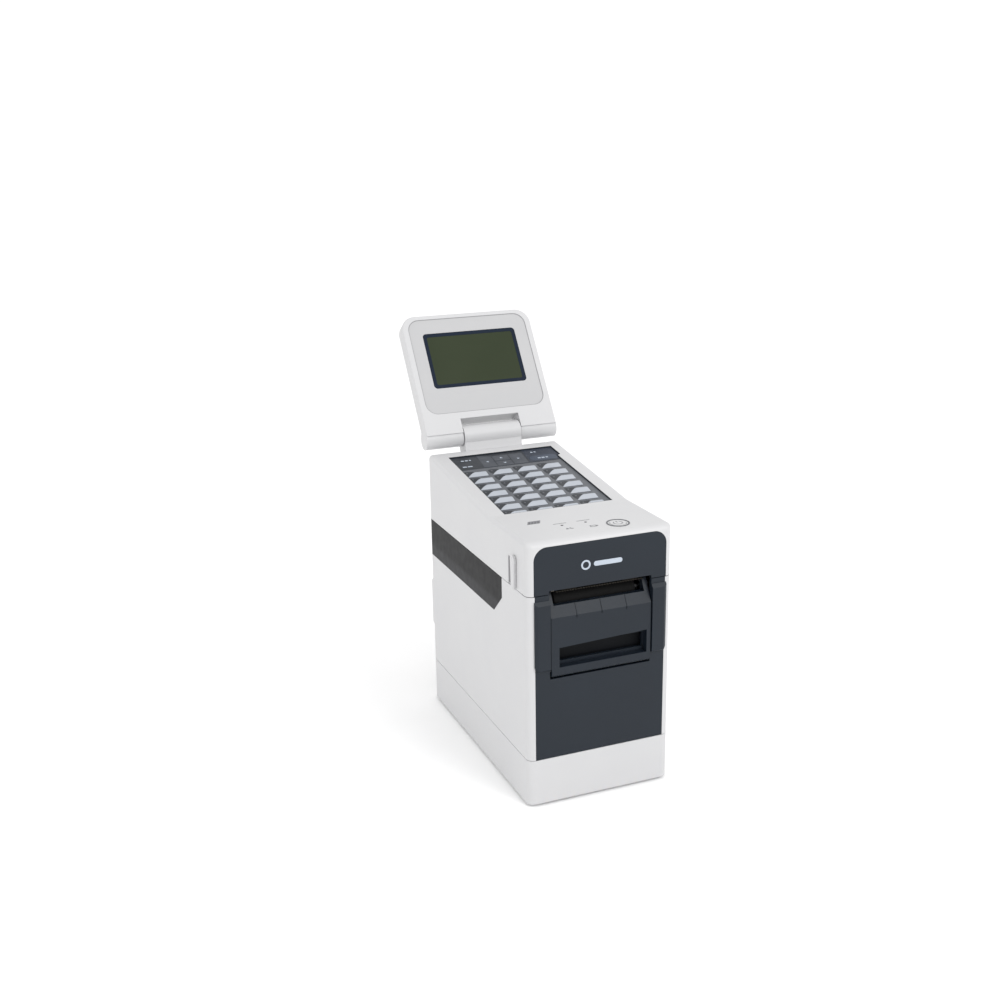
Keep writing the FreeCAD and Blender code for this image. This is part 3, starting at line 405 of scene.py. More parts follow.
SLOT_FINISHES = {
    "white_abs": WHITE_ABS, "grey_abs": GREY_ABS, "dark_abs": DARK_ABS, "smoked_polycarbonate": SMOKED_PC,
    "black_rubber": RUBBER, "zinc_steel": STEEL, "cast_aluminium": ALUMINIUM, "pcb": BOARD, "acetal": ACETAL,
    "label_paper": PAPER, "cardboard": CARDBOARD, "ceramic": CERAMIC, "key_grey": KEY_FILM,
    "key_light": KEY_LIGHT, "touch_glass": KEY_DARK, "lcd_glass": SCREEN, "lamp_lens": LENS,
    # The cup behind each lever takes a grey of painted shade.
    "cup_grey": CUP_PAINTED_SHADE, "socket_black": SOCKET, "battery_plastic": BATTERY, "badge_print": PALE_INK,
}
NODE_FINISHES = {"tear_bar": BLADE}


def joint_place(name: str) -> Vector:
    """Place of the named joint's axis, in metres."""
    return Vector(next(joint["pos_m"] for joint in frame["joints"] if joint["name"] == name))


def dress_frame() -> None:
    """Give every CAD node the finish of its slot."""
    slots = {part["node"]: part["material_slot"] for part in frame["record"]["subparts"]}
    for name, obj in frame["nodes"].items():
        finish = NODE_FINISHES.get(name, SLOT_FINISHES[slots[name]])
        obj.data.materials.clear()
        obj.data.materials.append(finish.material())
        LOG.info("node %s: %s", name, finish.name)


# ---- Mesh helpers -------------------------------------------------------------------------------
def arc(centre: Point, radius: float, start: float, sweep: float, steps: int) -> list[Point]:
    """Points along an arc, anticlockwise.

    Args:
        centre: Its centre.
        radius: Its radius.
        start: Degrees of the first point from the first axis.
        sweep: Degrees from there to the last point.
        steps: Segments.

    Returns:
        The points.
    """
    angles = [math.radians(start + sweep * step / steps) for step in range(steps + 1)]
    return [(centre[0] + radius * math.cos(a), centre[1] + radius * math.sin(a)) for a in angles]


def rounded_outline(width: float, height: float, radius: float, centre: Point = (0.0, 0.0),
                    steps: int = 6) -> list[Point]:
    """Outline of a rounded rectangle, anticlockwise.

    Args:
        width: Full width.
        height: Full height.
        radius: Corner radius.
        centre: Middle of the rectangle.
        steps: Segments in each corner.

    Returns:
        The points.
    """
    points = []
    for quarter, (sx, sy) in enumerate(((1, 1), (-1, 1), (-1, -1), (1, -1))):
        corner = (centre[0] + sx * (width / 2 - radius), centre[1] + sy * (height / 2 - radius))
        points += arc(corner, radius, 90 * quarter, 90, steps)
    return points


def closed_mesh(bm: bmesh.types.BMesh) -> Mesh:
    """Turn a closed shape's faces outwards and keep it as a mesh.

    Args:
        bm: The shape, which is freed.

    Returns:
        The mesh.
    """
    bmesh.ops.recalc_face_normals(bm, faces=bm.faces)
    mesh = bpy.data.meshes.new("shape")
    bm.to_mesh(mesh)
    bm.free()
    return mesh


def slab_mesh(outlines: Iterable[Iterable[Point]], low: float, high: float,
              bevel: float = 0.0) -> Mesh:
    """Closed flat pieces from outlines.

    Args:
        outlines: One outline for each separate piece, anticlockwise, in millimetres.
        low: Lower level, in millimetres.
        high: Upper level, in millimetres.
        bevel: Width of a bevel round the upper rim, in millimetres.

    Returns:
        The mesh, in metres.
    """
    bm = bmesh.new()
    for outline in outlines:
        base = [bm.verts.new((x * MM, y * MM, low * MM)) for x, y in outline]
        face = bm.faces.new(base)
        top = bmesh.ops.extrude_face_region(bm, geom=[face])["geom"]
        raised = [v for v in top if isinstance(v, bmesh.types.BMVert)]
        bmesh.ops.translate(bm, verts=raised, vec=(0, 0, (high - low) * MM))
        if bevel:
            upper = [f for f in top if isinstance(f, bmesh.types.BMFace)]
            rim = {e for f in upper for e in f.edges}
            bmesh.ops.bevel(bm, geom=list(rim), offset=bevel * MM, segments=2, affect="EDGES", profile=0.5)
    return closed_mesh(bm)


def bridge(bm: bmesh.types.BMesh, loops: list[list[bmesh.types.BMVert]]) -> None:
    """Join each loop of vertices to the next.

    Args:
        bm: The shape.
        loops: Loops with the same number of vertices.
    """
    for here, there in zip(loops, loops[1:]):
        for i in range(len(here)):
            j = (i + 1) % len(here)
            bm.faces.new((here[i], here[j], there[j], there[i]))


def ring_mesh(outer: list[Point], inner: list[Point], low: float, high: float) -> Mesh:
    """Closed flat ring between two outlines with the same number of points.

    Args:
        outer: Outer outline, in millimetres.
        inner: Inner outline, in millimetres.
        low: Lower level, in millimetres.
        high: Upper level, in millimetres.

    Returns:
        The mesh, in metres.
    """
    bm = bmesh.new()
    loops = [[bm.verts.new((x * MM, y * MM, z * MM)) for x, y in outline]
             for outline, z in ((outer, low), (outer, high), (inner, high), (inner, low))]
    bridge(bm, [*loops, loops[0]])
    return closed_mesh(bm)


def join_meshes(meshes: list[Mesh]) -> Mesh:
    """One mesh from several.

    Args:
        meshes: Meshes in the same frame.

    Returns:
        The joined mesh.
    """
    bm = bmesh.new()
    for mesh in meshes:
        bm.from_mesh(mesh)
    return closed_mesh(bm)


def clipped(outline: list[Point], limit: float) -> list[Point]:
    """Part of an outline at or beyond a limit along its second axis.

    Args:
        outline: Closed outline.
        limit: Lowest second coordinate to keep.

    Returns:
        The outline that is left.
    """
    kept = []
    for (x0, s0), (x1, s1) in zip(outline, outline[1:] + outline[:1]):
        if s0 >= limit:
            kept.append((x0, s0))
        if (s0 >= limit) != (s1 >= limit):
            share = (limit - s0) / (s1 - s0)
            kept.append((x0 + share * (x1 - x0), limit))
    return kept


def piece(name: str, mesh: Mesh, finish: Finish, body: str,
          place: Matrix | None = None) -> bpy.types.Object:
    """Make a finished piece that rides on a body.

    Args:
        name: Name of the piece.
        mesh: Its shape.
        finish: Its finish.
        body: CAD body that it moves with.
        place: Where the shape goes, in the mesh.

    Returns:
        The object.
    """
    mesh.name = name
    if place:
        mesh.transform(place)
    mesh.materials.clear()
    mesh.materials.append(finish.material())
    obj = bpy.data.objects.new(name, mesh)
    bpy.context.scene.collection.objects.link(obj)
    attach(obj, body)
    LOG.info("piece %s: %d faces on %s", name, len(mesh.polygons), body)
    return obj


# ---- Repeats and coils, by Geometry Nodes -------------------------------------------------------
def open_tree(name: str, sizes: dict[str, str]) -> tuple[NodeTree, NodeOutputs]:
    """Start a geometry node tree.

    Args:
        name: Name of the tree.
        sizes: Name of each size input to its socket type.

    Returns:
        The tree, and its inputs: Shape, the sizes and Finish.
    """
    tree = bpy.data.node_groups.new(name, "GeometryNodeTree")
    kinds = {"Shape": "NodeSocketGeometry", **sizes, "Finish": "NodeSocketMaterial"}
    for label, kind in kinds.items():
        tree.interface.new_socket(label, in_out="INPUT", socket_type=kind)
    tree.interface.new_socket("Result", in_out="OUTPUT", socket_type="NodeSocketGeometry")
    return tree, add_node(tree, "NodeGroupInput").outputs


def close_tree(tree: NodeTree, given: NodeOutputs, last: Node) -> None:
    """End a tree with real geometry in its finish.

    Args:
        tree: The tree.
        given: Its inputs.
        last: Node whose first output is the shape.
    """
    real = add_node(tree, "GeometryNodeRealizeInstances", None, {"Geometry": last.outputs[0]})
    dressed = add_node(tree, "GeometryNodeSetMaterial", None, {
        "Geometry": real.outputs[0], "Material": given["Finish"]})
    add_node(tree, "NodeGroupOutput", None, {"Result": dressed.outputs[0]})


@dataclass
class Repeat:
    """Copies of one small shape on a grid, made by a node tree.

    Attributes:
        columns: Copies along X.
        rows: Copies along Y.
        pitch_x: Step along X, in millimetres.
        pitch_y: Step along Y, in millimetres.
    """

    columns: int
    rows: int
    pitch_x: float
    pitch_y: float

    def tree(self) -> NodeTree:
        """Find or make the node tree.

        Returns:
            The tree, with named inputs.
        """
        found = bpy.data.node_groups.get("repeat_on_grid")
        if found:
            return found
        tree, given = open_tree("repeat_on_grid", {
            "Columns": "NodeSocketInt", "Rows": "NodeSocketInt", "Width": "NodeSocketFloat",
            "Depth": "NodeSocketFloat"})
        grid = add_node(tree, "GeometryNodeMeshGrid", None, {
            "Size X": given["Width"], "Size Y": given["Depth"], "Vertices X": given["Columns"],
            "Vertices Y": given["Rows"]})
        copies = add_node(tree, "GeometryNodeInstanceOnPoints", None, {
            "Points": grid.outputs["Mesh"], "Instance": given["Shape"]})
        close_tree(tree, given, copies)
        return tree

    def mesh(self, shape: Mesh, finish: Finish) -> Mesh:
        """Repeat a shape.

        Args:
            shape: Shape drawn about its own middle.
            finish: Its finish.

        Returns:
            A plain mesh of all the copies, centred on the grid's middle.
        """
        return grown(self.tree(), shape, {
            "Columns": self.columns, "Rows": self.rows, "Width": self.pitch_x * (self.columns - 1) * MM,
            "Depth": self.pitch_y * (self.rows - 1) * MM, "Finish": finish.material()})


def grown(tree: NodeTree, shape: Mesh, values: dict) -> Mesh:
    """Run a node tree on a shape and keep the result.

    Args:
        tree: Geometry node tree.
        shape: Mesh that goes in.
        values: Name of each of the tree's inputs to its value.

    Returns:
        A plain mesh.
    """
    carrier = bpy.data.objects.new("carrier", shape)
    bpy.context.scene.collection.objects.link(carrier)
    modifier = carrier.modifiers.new("carrier", "NODES")
    modifier.node_group = tree
    keys = {item.name: item.identifier for item in tree.interface.items_tree if item.in_out == "INPUT"}
    for name, value in values.items():
        modifier[keys[name]] = value
    graph = bpy.context.evaluated_depsgraph_get()
    result = bpy.data.meshes.new_from_object(carrier.evaluated_get(graph))
    carrier.modifiers.remove(modifier)
    bpy.data.objects.remove(carrier)
    return result


# ---- Print head springs -------------------------------------------------------------------------
@dataclass
class HeadSprings:
    """Two coil springs between the cover's frame and the print head.

    Attributes:
        places: Middle of each spring, in millimetres.
        foot: Height of the lowest coil's middle.
        height: Height of the coils' path.
        pitch: Rise of one turn.
        radius: Radius of the path.
        wire: Radius of the wire.
        keep: Share of the length left when the head is fully up; not used.
    """

    places: tuple[Point, Point] = ((-20.0, -84.0), (20.0, -84.0))
    foot: float = 161.56
    height: float = 10.3
    pitch: float = 2.2
    radius: float = 3.0
    wire: float = 0.43
    keep: float = 0.82

    def tree(self) -> NodeTree:
        """Make the coil's node tree.

        Returns:
            The tree, with named inputs.
        """
        tree, given = open_tree("coil_spring", dict.fromkeys(
            ("Turns", "Radius", "Height", "Wire"), "NodeSocketFloat"))
        path = add_node(tree, "GeometryNodeCurveSpiral", None, {
            "Resolution": 24, "Rotations": given["Turns"], "Start Radius": given["Radius"],
            "End Radius": given["Radius"], "Height": given["Height"]})
        wire = add_node(tree, "GeometryNodeCurvePrimitiveCircle", None, {
            "Resolution": 8, "Radius": given["Wire"]})
        close_tree(tree, given, add_node(tree, "GeometryNodeCurveToMesh", None, {
            "Curve": path.outputs[0], "Profile Curve": wire.outputs[0], "Fill Caps": True}))
        return tree

    def build(self) -> None:
        """Make both springs."""
        tree = self.tree()
        values = {"Turns": self.height / self.pitch, "Radius": self.radius * MM, "Height": self.height * MM,
                  "Wire": self.wire * MM, "Finish": STEEL.material()}
        coils = []
        for x, y in self.places:
            coil = grown(tree, bpy.data.meshes.new("seed"), values)
            coil.transform(Matrix.Translation((x * MM, y * MM, self.foot * MM)))
            coils.append(coil)
        springs = piece("coil_springs", join_meshes(coils), STEEL, "head")
        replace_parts(springs, "head_springs")
        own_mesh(springs)


# ---- Keypad -------------------------------------------------------------------------------------
@dataclass
class Keypad:
    """Printed key sheet on the sloping deck, in millimetres: x across, s up the deck.

    Attributes:
        crease_y: Where the deck starts to rise.
        strip_z: Height of the deck there.
        slope: Rise per millimetre.
        film: Level of the film's upper face, along the deck's normal.
        columns: Keys across.
        rows: Keys up the deck.
        pitch_x: Key pitch across.
        pitch_s: Key pitch up the deck.
        first: Corner of the first key, x and s.
        cut_s: Where the sheet's front edge cuts the first row.
        recess: Half width, front and rear of the recess.
        tab: Reach of the pull tab, and where its slanted front begins and ends.
        dark_ring_wall: Thickness of the dark ring on the recess's walls.
        gap: Clearance round it.
        key_face: Outline of a key from its own corner, with a bowed cut.
        key_field: Outline of the dark print at that cut.
        key_shadow_line: Outline of the painted shadow line under a key.
        key_dot: Width, height, corner radius and middle of the dot on the dark print.
        ground: Outline of the function strip.
        pads: Outlines of its middle pads.
        end_pad: Outline of its right end.
        oval: Width, height, corner radius and middle of the oval on that.
        arrows: Middle of each arrow, and the way it points in degrees from up the deck.
        arrow: Size of an arrow from its middle.
        bars: Middle and width of each plain bar.
        bar: Height and corner radius of a bar.
    """

    crease_y: float = -33.0
    strip_z: float = 195.3
    slope: float = 0.12
    film: float = -1.1
    columns: int = 4
    rows: int = 7
    pitch_x: float = 20.4
    pitch_s: float = 13.1
    first: Point = (-41.7, -2.3)
    cut_s: float = 1.35
    recess: tuple[float, float, float] = (42.7, 1.0, 118.3)
    tab: tuple[float, float, float] = (45.5, 97.5, 99.5)
    dark_ring_wall: float = 0.25
    gap: float = 0.05
    key_face: Outline = (
        (0.0, 0.0), (16.6, -0.2), (17.5, 7.3), (16.9, 8.2), (8.5, 8.4), (6.6, 7.4), (3.8, 4.7))
    key_field: Outline = (
        (-0.6, 4.4), (0.6, 1.8), (3.5, 5.1), (6.3, 7.8), (8.3, 8.8), (7.6, 10.6), (1.0, 11.0), (-0.6, 10.2))
    key_shadow_line: Outline = ((0.3, -0.75), (16.4, -1.05), (16.8, -0.35), (0.0, -0.05))
    key_dot: tuple[float, float, float, Point] = (1.2, 1.8, 0.45, (2.0, 8.2))
    ground: Outline = (
        (-42.2, 91.2), (42.2, 91.2), (42.2, 99.9), (45.1, 100.0), (45.1, 117.9), (-42.2, 117.9))
    pads: tuple[Outline, ...] = (
        ((-22.2, 91.8), (-11.2, 91.8), (-9.3, 112.6), (-19.6, 117.4)),
        ((-10.2, 91.8), (2.6, 91.8), (3.4, 101.6), (-9.4, 101.6)),
        ((-9.3, 102.4), (3.5, 102.4), (4.6, 112.8), (-8.4, 112.8)),
        ((3.7, 91.8), (15.0, 91.8), (17.4, 112.9), (5.6, 112.9)))
    end_pad: Outline = (
        (16.3, 91.8), (41.9, 91.8), (41.9, 100.4), (44.8, 100.5), (44.8, 117.6), (19.4, 117.6))
    oval: tuple[float, float, float, Point] = (23.0, 9.6, 4.4, (30.6, 98.6))
    arrows: tuple[tuple[float, float, float], ...] = (
        (-15.5, 102.7, 90), (-2.4, 107.5, 0), (-2.9, 97.2, 180), (10.3, 102.5, 270))
    arrow: float = 1.5
    bars: tuple[tuple[float, float, float], ...] = (
        (-34.2, 109.5, 2.6), (-30.9, 109.5, 2.6), (-27.9, 109.5, 1.6), (-36.8, 97.0, 3.4), (-32.4, 97.0, 4.0),
        (25.4, 111.3, 2.0), (28.2, 111.3, 1.6), (26.6, 98.2, 2.6), (30.0, 98.2, 2.6), (33.2, 98.2, 2.0))
    bar: Point = (1.9, 0.7)

    def printed(self, name: str, mesh: Mesh, finish: Finish,
                slot: str = "key_grey") -> bpy.types.Object:
        """Place a mesh drawn in the deck frame (y up the deck, z out of it) on the cover.

        Args:
            name: Name of the piece.
            mesh: Its shape.
            finish: Its finish.
            slot: Material slot of the record; not used.

        Returns:
            The object.
        """
        turn = Matrix.Rotation(math.atan(self.slope), 4, "X")
        place = Matrix.Translation((0, self.crease_y * MM, self.strip_z * MM)) @ turn
        return piece(name, mesh, finish, "cover", place)

    def repeated(self, outline: Iterable[Point], low: float, high: float, finish: Finish,
                 bevel: float = 0.0) -> Mesh:
        """One flat shape on every key, with the front row cut off at the sheet's front edge.

        Args:
            outline: Shape, from a key's own corner.
            low: Lower level.
            high: Upper level.
            finish: Its finish.
            bevel: Width of the bevel round its upper rim.

        Returns:
            The mesh, in the deck frame.
        """
        outline, (first_x, first_s) = list(outline), self.first
        rows = Repeat(self.columns, self.rows - 1, self.pitch_x, self.pitch_s)
        full = rows.mesh(slab_mesh([outline], low, high, bevel), finish)
        middle_x = first_x + self.pitch_x * (self.columns - 1) / 2
        middle_s = first_s + self.pitch_s * self.rows / 2
        full.transform(Matrix.Translation((middle_x * MM, middle_s * MM, 0)))
        cut = clipped(outline, self.cut_s - first_s)
        if not cut:
            return full
        front = [[(first_x + column * self.pitch_x + x, first_s + y) for x, y in cut]
                 for column in range(self.columns)]
        return join_meshes([full, slab_mesh(front, low, high, bevel)])

    def recess_dark_ring(self) -> None:
        """Dark ring over the recess's walls, round the film's pull tab as well, which darkens them."""
        (half, front, rear), (tab, slant, corner), wall = self.recess, self.tab, self.dark_ring_wall
        loops = []
        for inset, shift in ((self.gap, 0.0), (self.gap + wall, 2 * self.gap)):
            side, reach, start, end = half - inset, tab - inset, front + inset, rear - inset
            loops.append([(-side, start), (side, start), (side, slant + shift), (reach, corner + shift),
                          (reach, end), (-side, end)])
        self.printed("keypad_recess_dark_ring", ring_mesh(*loops, self.film, -0.03), KEY_DARK, "dark_abs")

    def keys(self) -> None:
        """Pale face of each key, with the print round it and a painted shadow line under it."""
        mesh = self.repeated(self.key_face, self.film, self.film + 0.3, KEY_LIGHT, 0.08)
        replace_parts(self.printed("key_faces", mesh, KEY_LIGHT, "key_light"), "key_tiles")
        low, high = self.film, self.film + 0.06
        dot = rounded_outline(*self.key_dot, 3)
        self.printed("key_marks", self.repeated(self.key_field, low, high, KEY_DARK), KEY_DARK)
        self.printed("key_dots", self.repeated(dot, high, high + 0.04, KEY_FILM), KEY_FILM)
        # A dark line under each key: painted shadow.
        self.printed("key_shadow_lines", self.repeated(self.key_shadow_line, low, high, KEY_SLATE), KEY_SLATE)

    def function_strip(self) -> None:
        """Dark strip at the rear of the sheet with its pads, one print over the other."""
        low, high = self.film, self.film + 0.12
        self.printed("function_ground", slab_mesh([self.ground], low, high), KEY_GRAPHITE)
        self.printed("function_pads", slab_mesh(self.pads, high, high + 0.1), KEY_SLATE)
        self.printed("function_end", slab_mesh([self.end_pad], high, high + 0.08), KEY_NAVY)
        oval = slab_mesh([rounded_outline(*self.oval)], high + 0.08, high + 0.14)
        self.printed("function_oval", oval, KEY_STEEL)

    def function_marks(self) -> None:
        """Arrows on the middle pads, and plain bars on the others."""
        outlines = [arc((x, s), self.arrow, 90 + turn, 240, 2) for x, s, turn in self.arrows]
        height, radius = self.bar
        outlines += [rounded_outline(width, height, radius, (x, s), 4) for x, s, width in self.bars]
        low = self.film + 0.26
        self.printed("function_marks", slab_mesh(outlines, low, low + 0.06), PALE_INK, "key_light")

    def build(self) -> None:
        """Make all the printed parts."""
        self.recess_dark_ring()
        self.keys()
        self.function_strip()
        self.function_marks()


# ---- Front strip --------------------------------------------------------------------------------
@dataclass
class FrontStrip:
    """Marks on the flat strip in front of the keypad, in millimetres.

    Attributes:
        top_z: Height of the strip.
        button: Middle of the power button.
        ring: Outer and inner radius of the ring round it.
        mark: Outer and inner radius of the mark on it.
        lamps: Middles of the two lamps.
        rule: Length of the line behind each lamp, and its place from the lamp.
        feed: Place of the feed mark from the left lamp.
        cell: Place of the battery mark from the right lamp.
        sensor: Front left corner of the sensor's patch.
        patch: Width and depth of the patch.
        lean: Slant of the patch, per millimetre of depth.
    """

    top_z: float = 195.3
    button: Point = (21.2, -82.8)
    ring: Point = (8.2, 7.2)
    mark: Point = (3.5, 2.8)
    lamps: tuple[Point, Point] = ((-16.2, -71.6), (1.7, -71.7))
    rule: tuple[float, Point] = (9.9, (0.1, 4.3))
    feed: Point = (1.8, -8.2)
    cell: Point = (1.2, -9.9)
    sensor: Point = (-37.6, -60.9)
    patch: Point = (9.6, 6.2)
    lean: float = 0.47

    def power_mark(self) -> None:
        """Open ring and bar on the button, and the dark ring round it."""
        x, y = self.button
        open_ring = []
        for radius, order in zip(self.mark, (1, -1)):
            open_ring += arc(self.button, radius, 125, 290, 20)[::order]
        bar = rounded_outline(0.8, 3.2, 0.3, (x, y + 2.4), 2)
        level = self.top_z + 0.2
        piece("power_mark", slab_mesh([open_ring, bar], level, level + 0.05), LIGHT_INK, "button")
        rings = [rounded_outline(2 * radius, 2 * radius, radius - 0.01, (x, y), 16) for radius in self.ring]
        rim = ring_mesh(*rings, self.top_z, self.top_z + 0.3)
        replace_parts(piece("power_rim", rim, GREY_INK, "cover"), "power_ring")

    def lamp_marks(self) -> None:
        """A fine line behind each lamp, and a feed mark and a battery mark in front of them."""
        low, high = self.top_z, self.top_z + 0.05
        length, (shift_x, shift_y) = self.rule
        outlines = [rounded_outline(length, 0.6, 0.25, (x + shift_x, y + shift_y), 2)
                    for x, y in self.lamps]
        (x, y), (cell_x, cell_y) = (Vector(lamp) + Vector(shift)
                                    for lamp, shift in zip(self.lamps, (self.feed, self.cell)))
        outlines.append([(x - 2.8, y - 1.2), (x - 0.2, y - 1.2), (x - 1.5, y + 1.6)])
        outlines.append(rounded_outline(2.4, 0.9, 0.3, (x + 1.6, y - 0.7), 2))
        outlines.append(rounded_outline(1.4, 0.9, 0.3, (x + 1.1, y + 0.9), 2))
        outlines.append(rounded_outline(0.8, 1.6, 0.2, (cell_x + 3.1, cell_y), 2))
        piece("lamp_marks", slab_mesh(outlines, low, high), GREY_INK, "cover")
        cell = [rounded_outline(5.0 - inset, 3.2 - inset, 0.6, (cell_x, cell_y), 3) for inset in (0.0, 1.3)]
        piece("battery_mark", ring_mesh(*cell, low, high), GREY_INK, "cover")

    def slanted(self, left: float, width: float, front: float, rear: float) -> list[Point]:
        """Outline with the patch's slant.

        Args:
            left: Left edge from the patch's corner.
            width: Width.
            front: Front edge from the corner.
            rear: Rear edge from the corner.

        Returns:
            The points.
        """
        x, y = self.sensor
        return [(x + left + side + self.lean * depth, y + depth)
                for side, depth in ((0, front), (width, front), (width, rear), (0, rear))]

    def sensor_patch(self) -> None:
        """Slanted grey patch over the light sensor's window, with darker bars across it."""
        low, high = self.top_z, self.top_z + 0.04
        width, depth = self.patch
        piece("sensor_patch", slab_mesh([self.slanted(0, width, 0, depth)], low, high), LIGHT_INK, "cover")
        bars = [self.slanted(0.9 + 2.2 * step, 1.0, 0.6, 4.6) for step in range(4)]
        piece("sensor_bars", slab_mesh(bars, high, high + 0.04), GREY_INK, "cover")

    def build(self) -> None:
        """Make all the marks."""
        self.power_mark()
        self.lamp_marks()
        self.sensor_patch()


# ---- Display ------------------------------------------------------------------------------------
@dataclass
class Display:
    """Screen edge, painted shade of the bezel's gap, and screws of the display.

    Attributes:
        lean: Degrees back from upright.
        window: Width and height of the screen's window, in millimetres.
        middle: Height of its middle above the hinge, along the panel.
        face: Depth of its face in front of the hinge.
        border: Width of the dark edge.
        back: Depth of the back behind the hinge.
        screw_pitch: Spacing of the back's screws.
        bezel: Width, height and middle of the grey inset panel.
        bezel_face: Depth of its face in front of the hinge.
    """

    lean: float = 34.8
    window: Point = (80.2, 48.5)
    middle: float = 63.95
    face: float = 8.2
    border: float = 3.0
    back: float = 6.0
    screw_pitch: Point = (84.0, 64.0)
    bezel: tuple[float, float, float] = (102.4, 83.5, 59.25)
    bezel_face: float = 8.5

    def place(self, front: bool) -> Matrix:
        """Frame on the panel's face: x across, y up the panel, z out of it.

        Args:
            front: Whether z points out of the front, and not out of the back.

        Returns:
            The placement.
        """
        lean = Matrix.Rotation(math.radians(-self.lean), 4, "X")
        hinge = Matrix.Translation(joint_place("display_tilt")) @ lean
        upright = Matrix.Rotation(math.pi / 2, 4, "X")
        turn = upright if front else Matrix.Rotation(math.pi, 4, "Z") @ upright
        return hinge @ turn

    def screen_edge(self) -> None:
        """Dark edge printed behind the window."""
        width, height = self.window
        outer = rounded_outline(width, height, 3.0, (0, self.middle))
        inner = rounded_outline(width - 2 * self.border, height - 2 * self.border, 1.6, (0, self.middle))
        mesh = ring_mesh(outer, inner, self.face, self.face + 0.12)
        piece("screen_edge", mesh, SCREEN_EDGE, "display", self.place(True))

    def bezel_gap_shade(self) -> None:
        """Painted shade of the fine gap round the grey inset panel: a grey ring on its face."""
        width, height, middle = self.bezel
        outer = rounded_outline(width, height, 9.8, (0, middle))
        inner = rounded_outline(width - 1.0, height - 1.0, 9.3, (0, middle))
        # A grey ring of painted shade, standing a little proud of the bezel's face.
        mesh = ring_mesh(outer, inner, self.bezel_face - 0.2, self.bezel_face + 0.03)
        piece("bezel_gap_shade", mesh, GAP_PAINTED_SHADE, "display", self.place(True))

    def back_screws(self) -> None:
        """Four cross-head screws in the back."""
        head = screw_head(2.4, 0.7)
        mesh = Repeat(2, 2, *self.screw_pitch).mesh(head, STEEL)
        shift = Matrix.Translation((0, self.middle * MM, self.back * MM))
        piece("display_screws", mesh, STEEL, "display", self.place(False) @ shift)

    def build(self) -> None:
        """Make the display's fittings."""
        self.screen_edge()
        self.bezel_gap_shade()
        self.back_screws()


def screw_head(radius: float, height: float) -> Mesh:
    """Domed cross-head screw, sunk by half its height.

    Args:
        radius: Radius of the head, in millimetres.
        height: Height of the dome.

    Returns:
        The mesh, about its own middle.
    """
    bm, steps = bmesh.new(), 24
    cross = [0.42 if i % 6 == 0 else 0.12 for i in range(steps)]
    dome = [([reach] * steps, level) for reach, level in ((1.0, -0.5), (1.0, 0.0), (0.86, 0.36), (0.5, 0.5))]
    circle = arc((0.0, 0.0), radius * MM, 0, 360 - 360 / steps, steps - 1)
    loops = []
    for reaches, level in (*dome, (cross, -0.3)):
        loops.append([bm.verts.new((x * reach, y * reach, height * MM * level))
                      for (x, y), reach in zip(circle, reaches)])
    bridge(bm, loops)
    bm.faces.new(loops[0][::-1])
    bm.faces.new(loops[-1])
    return closed_mesh(bm)


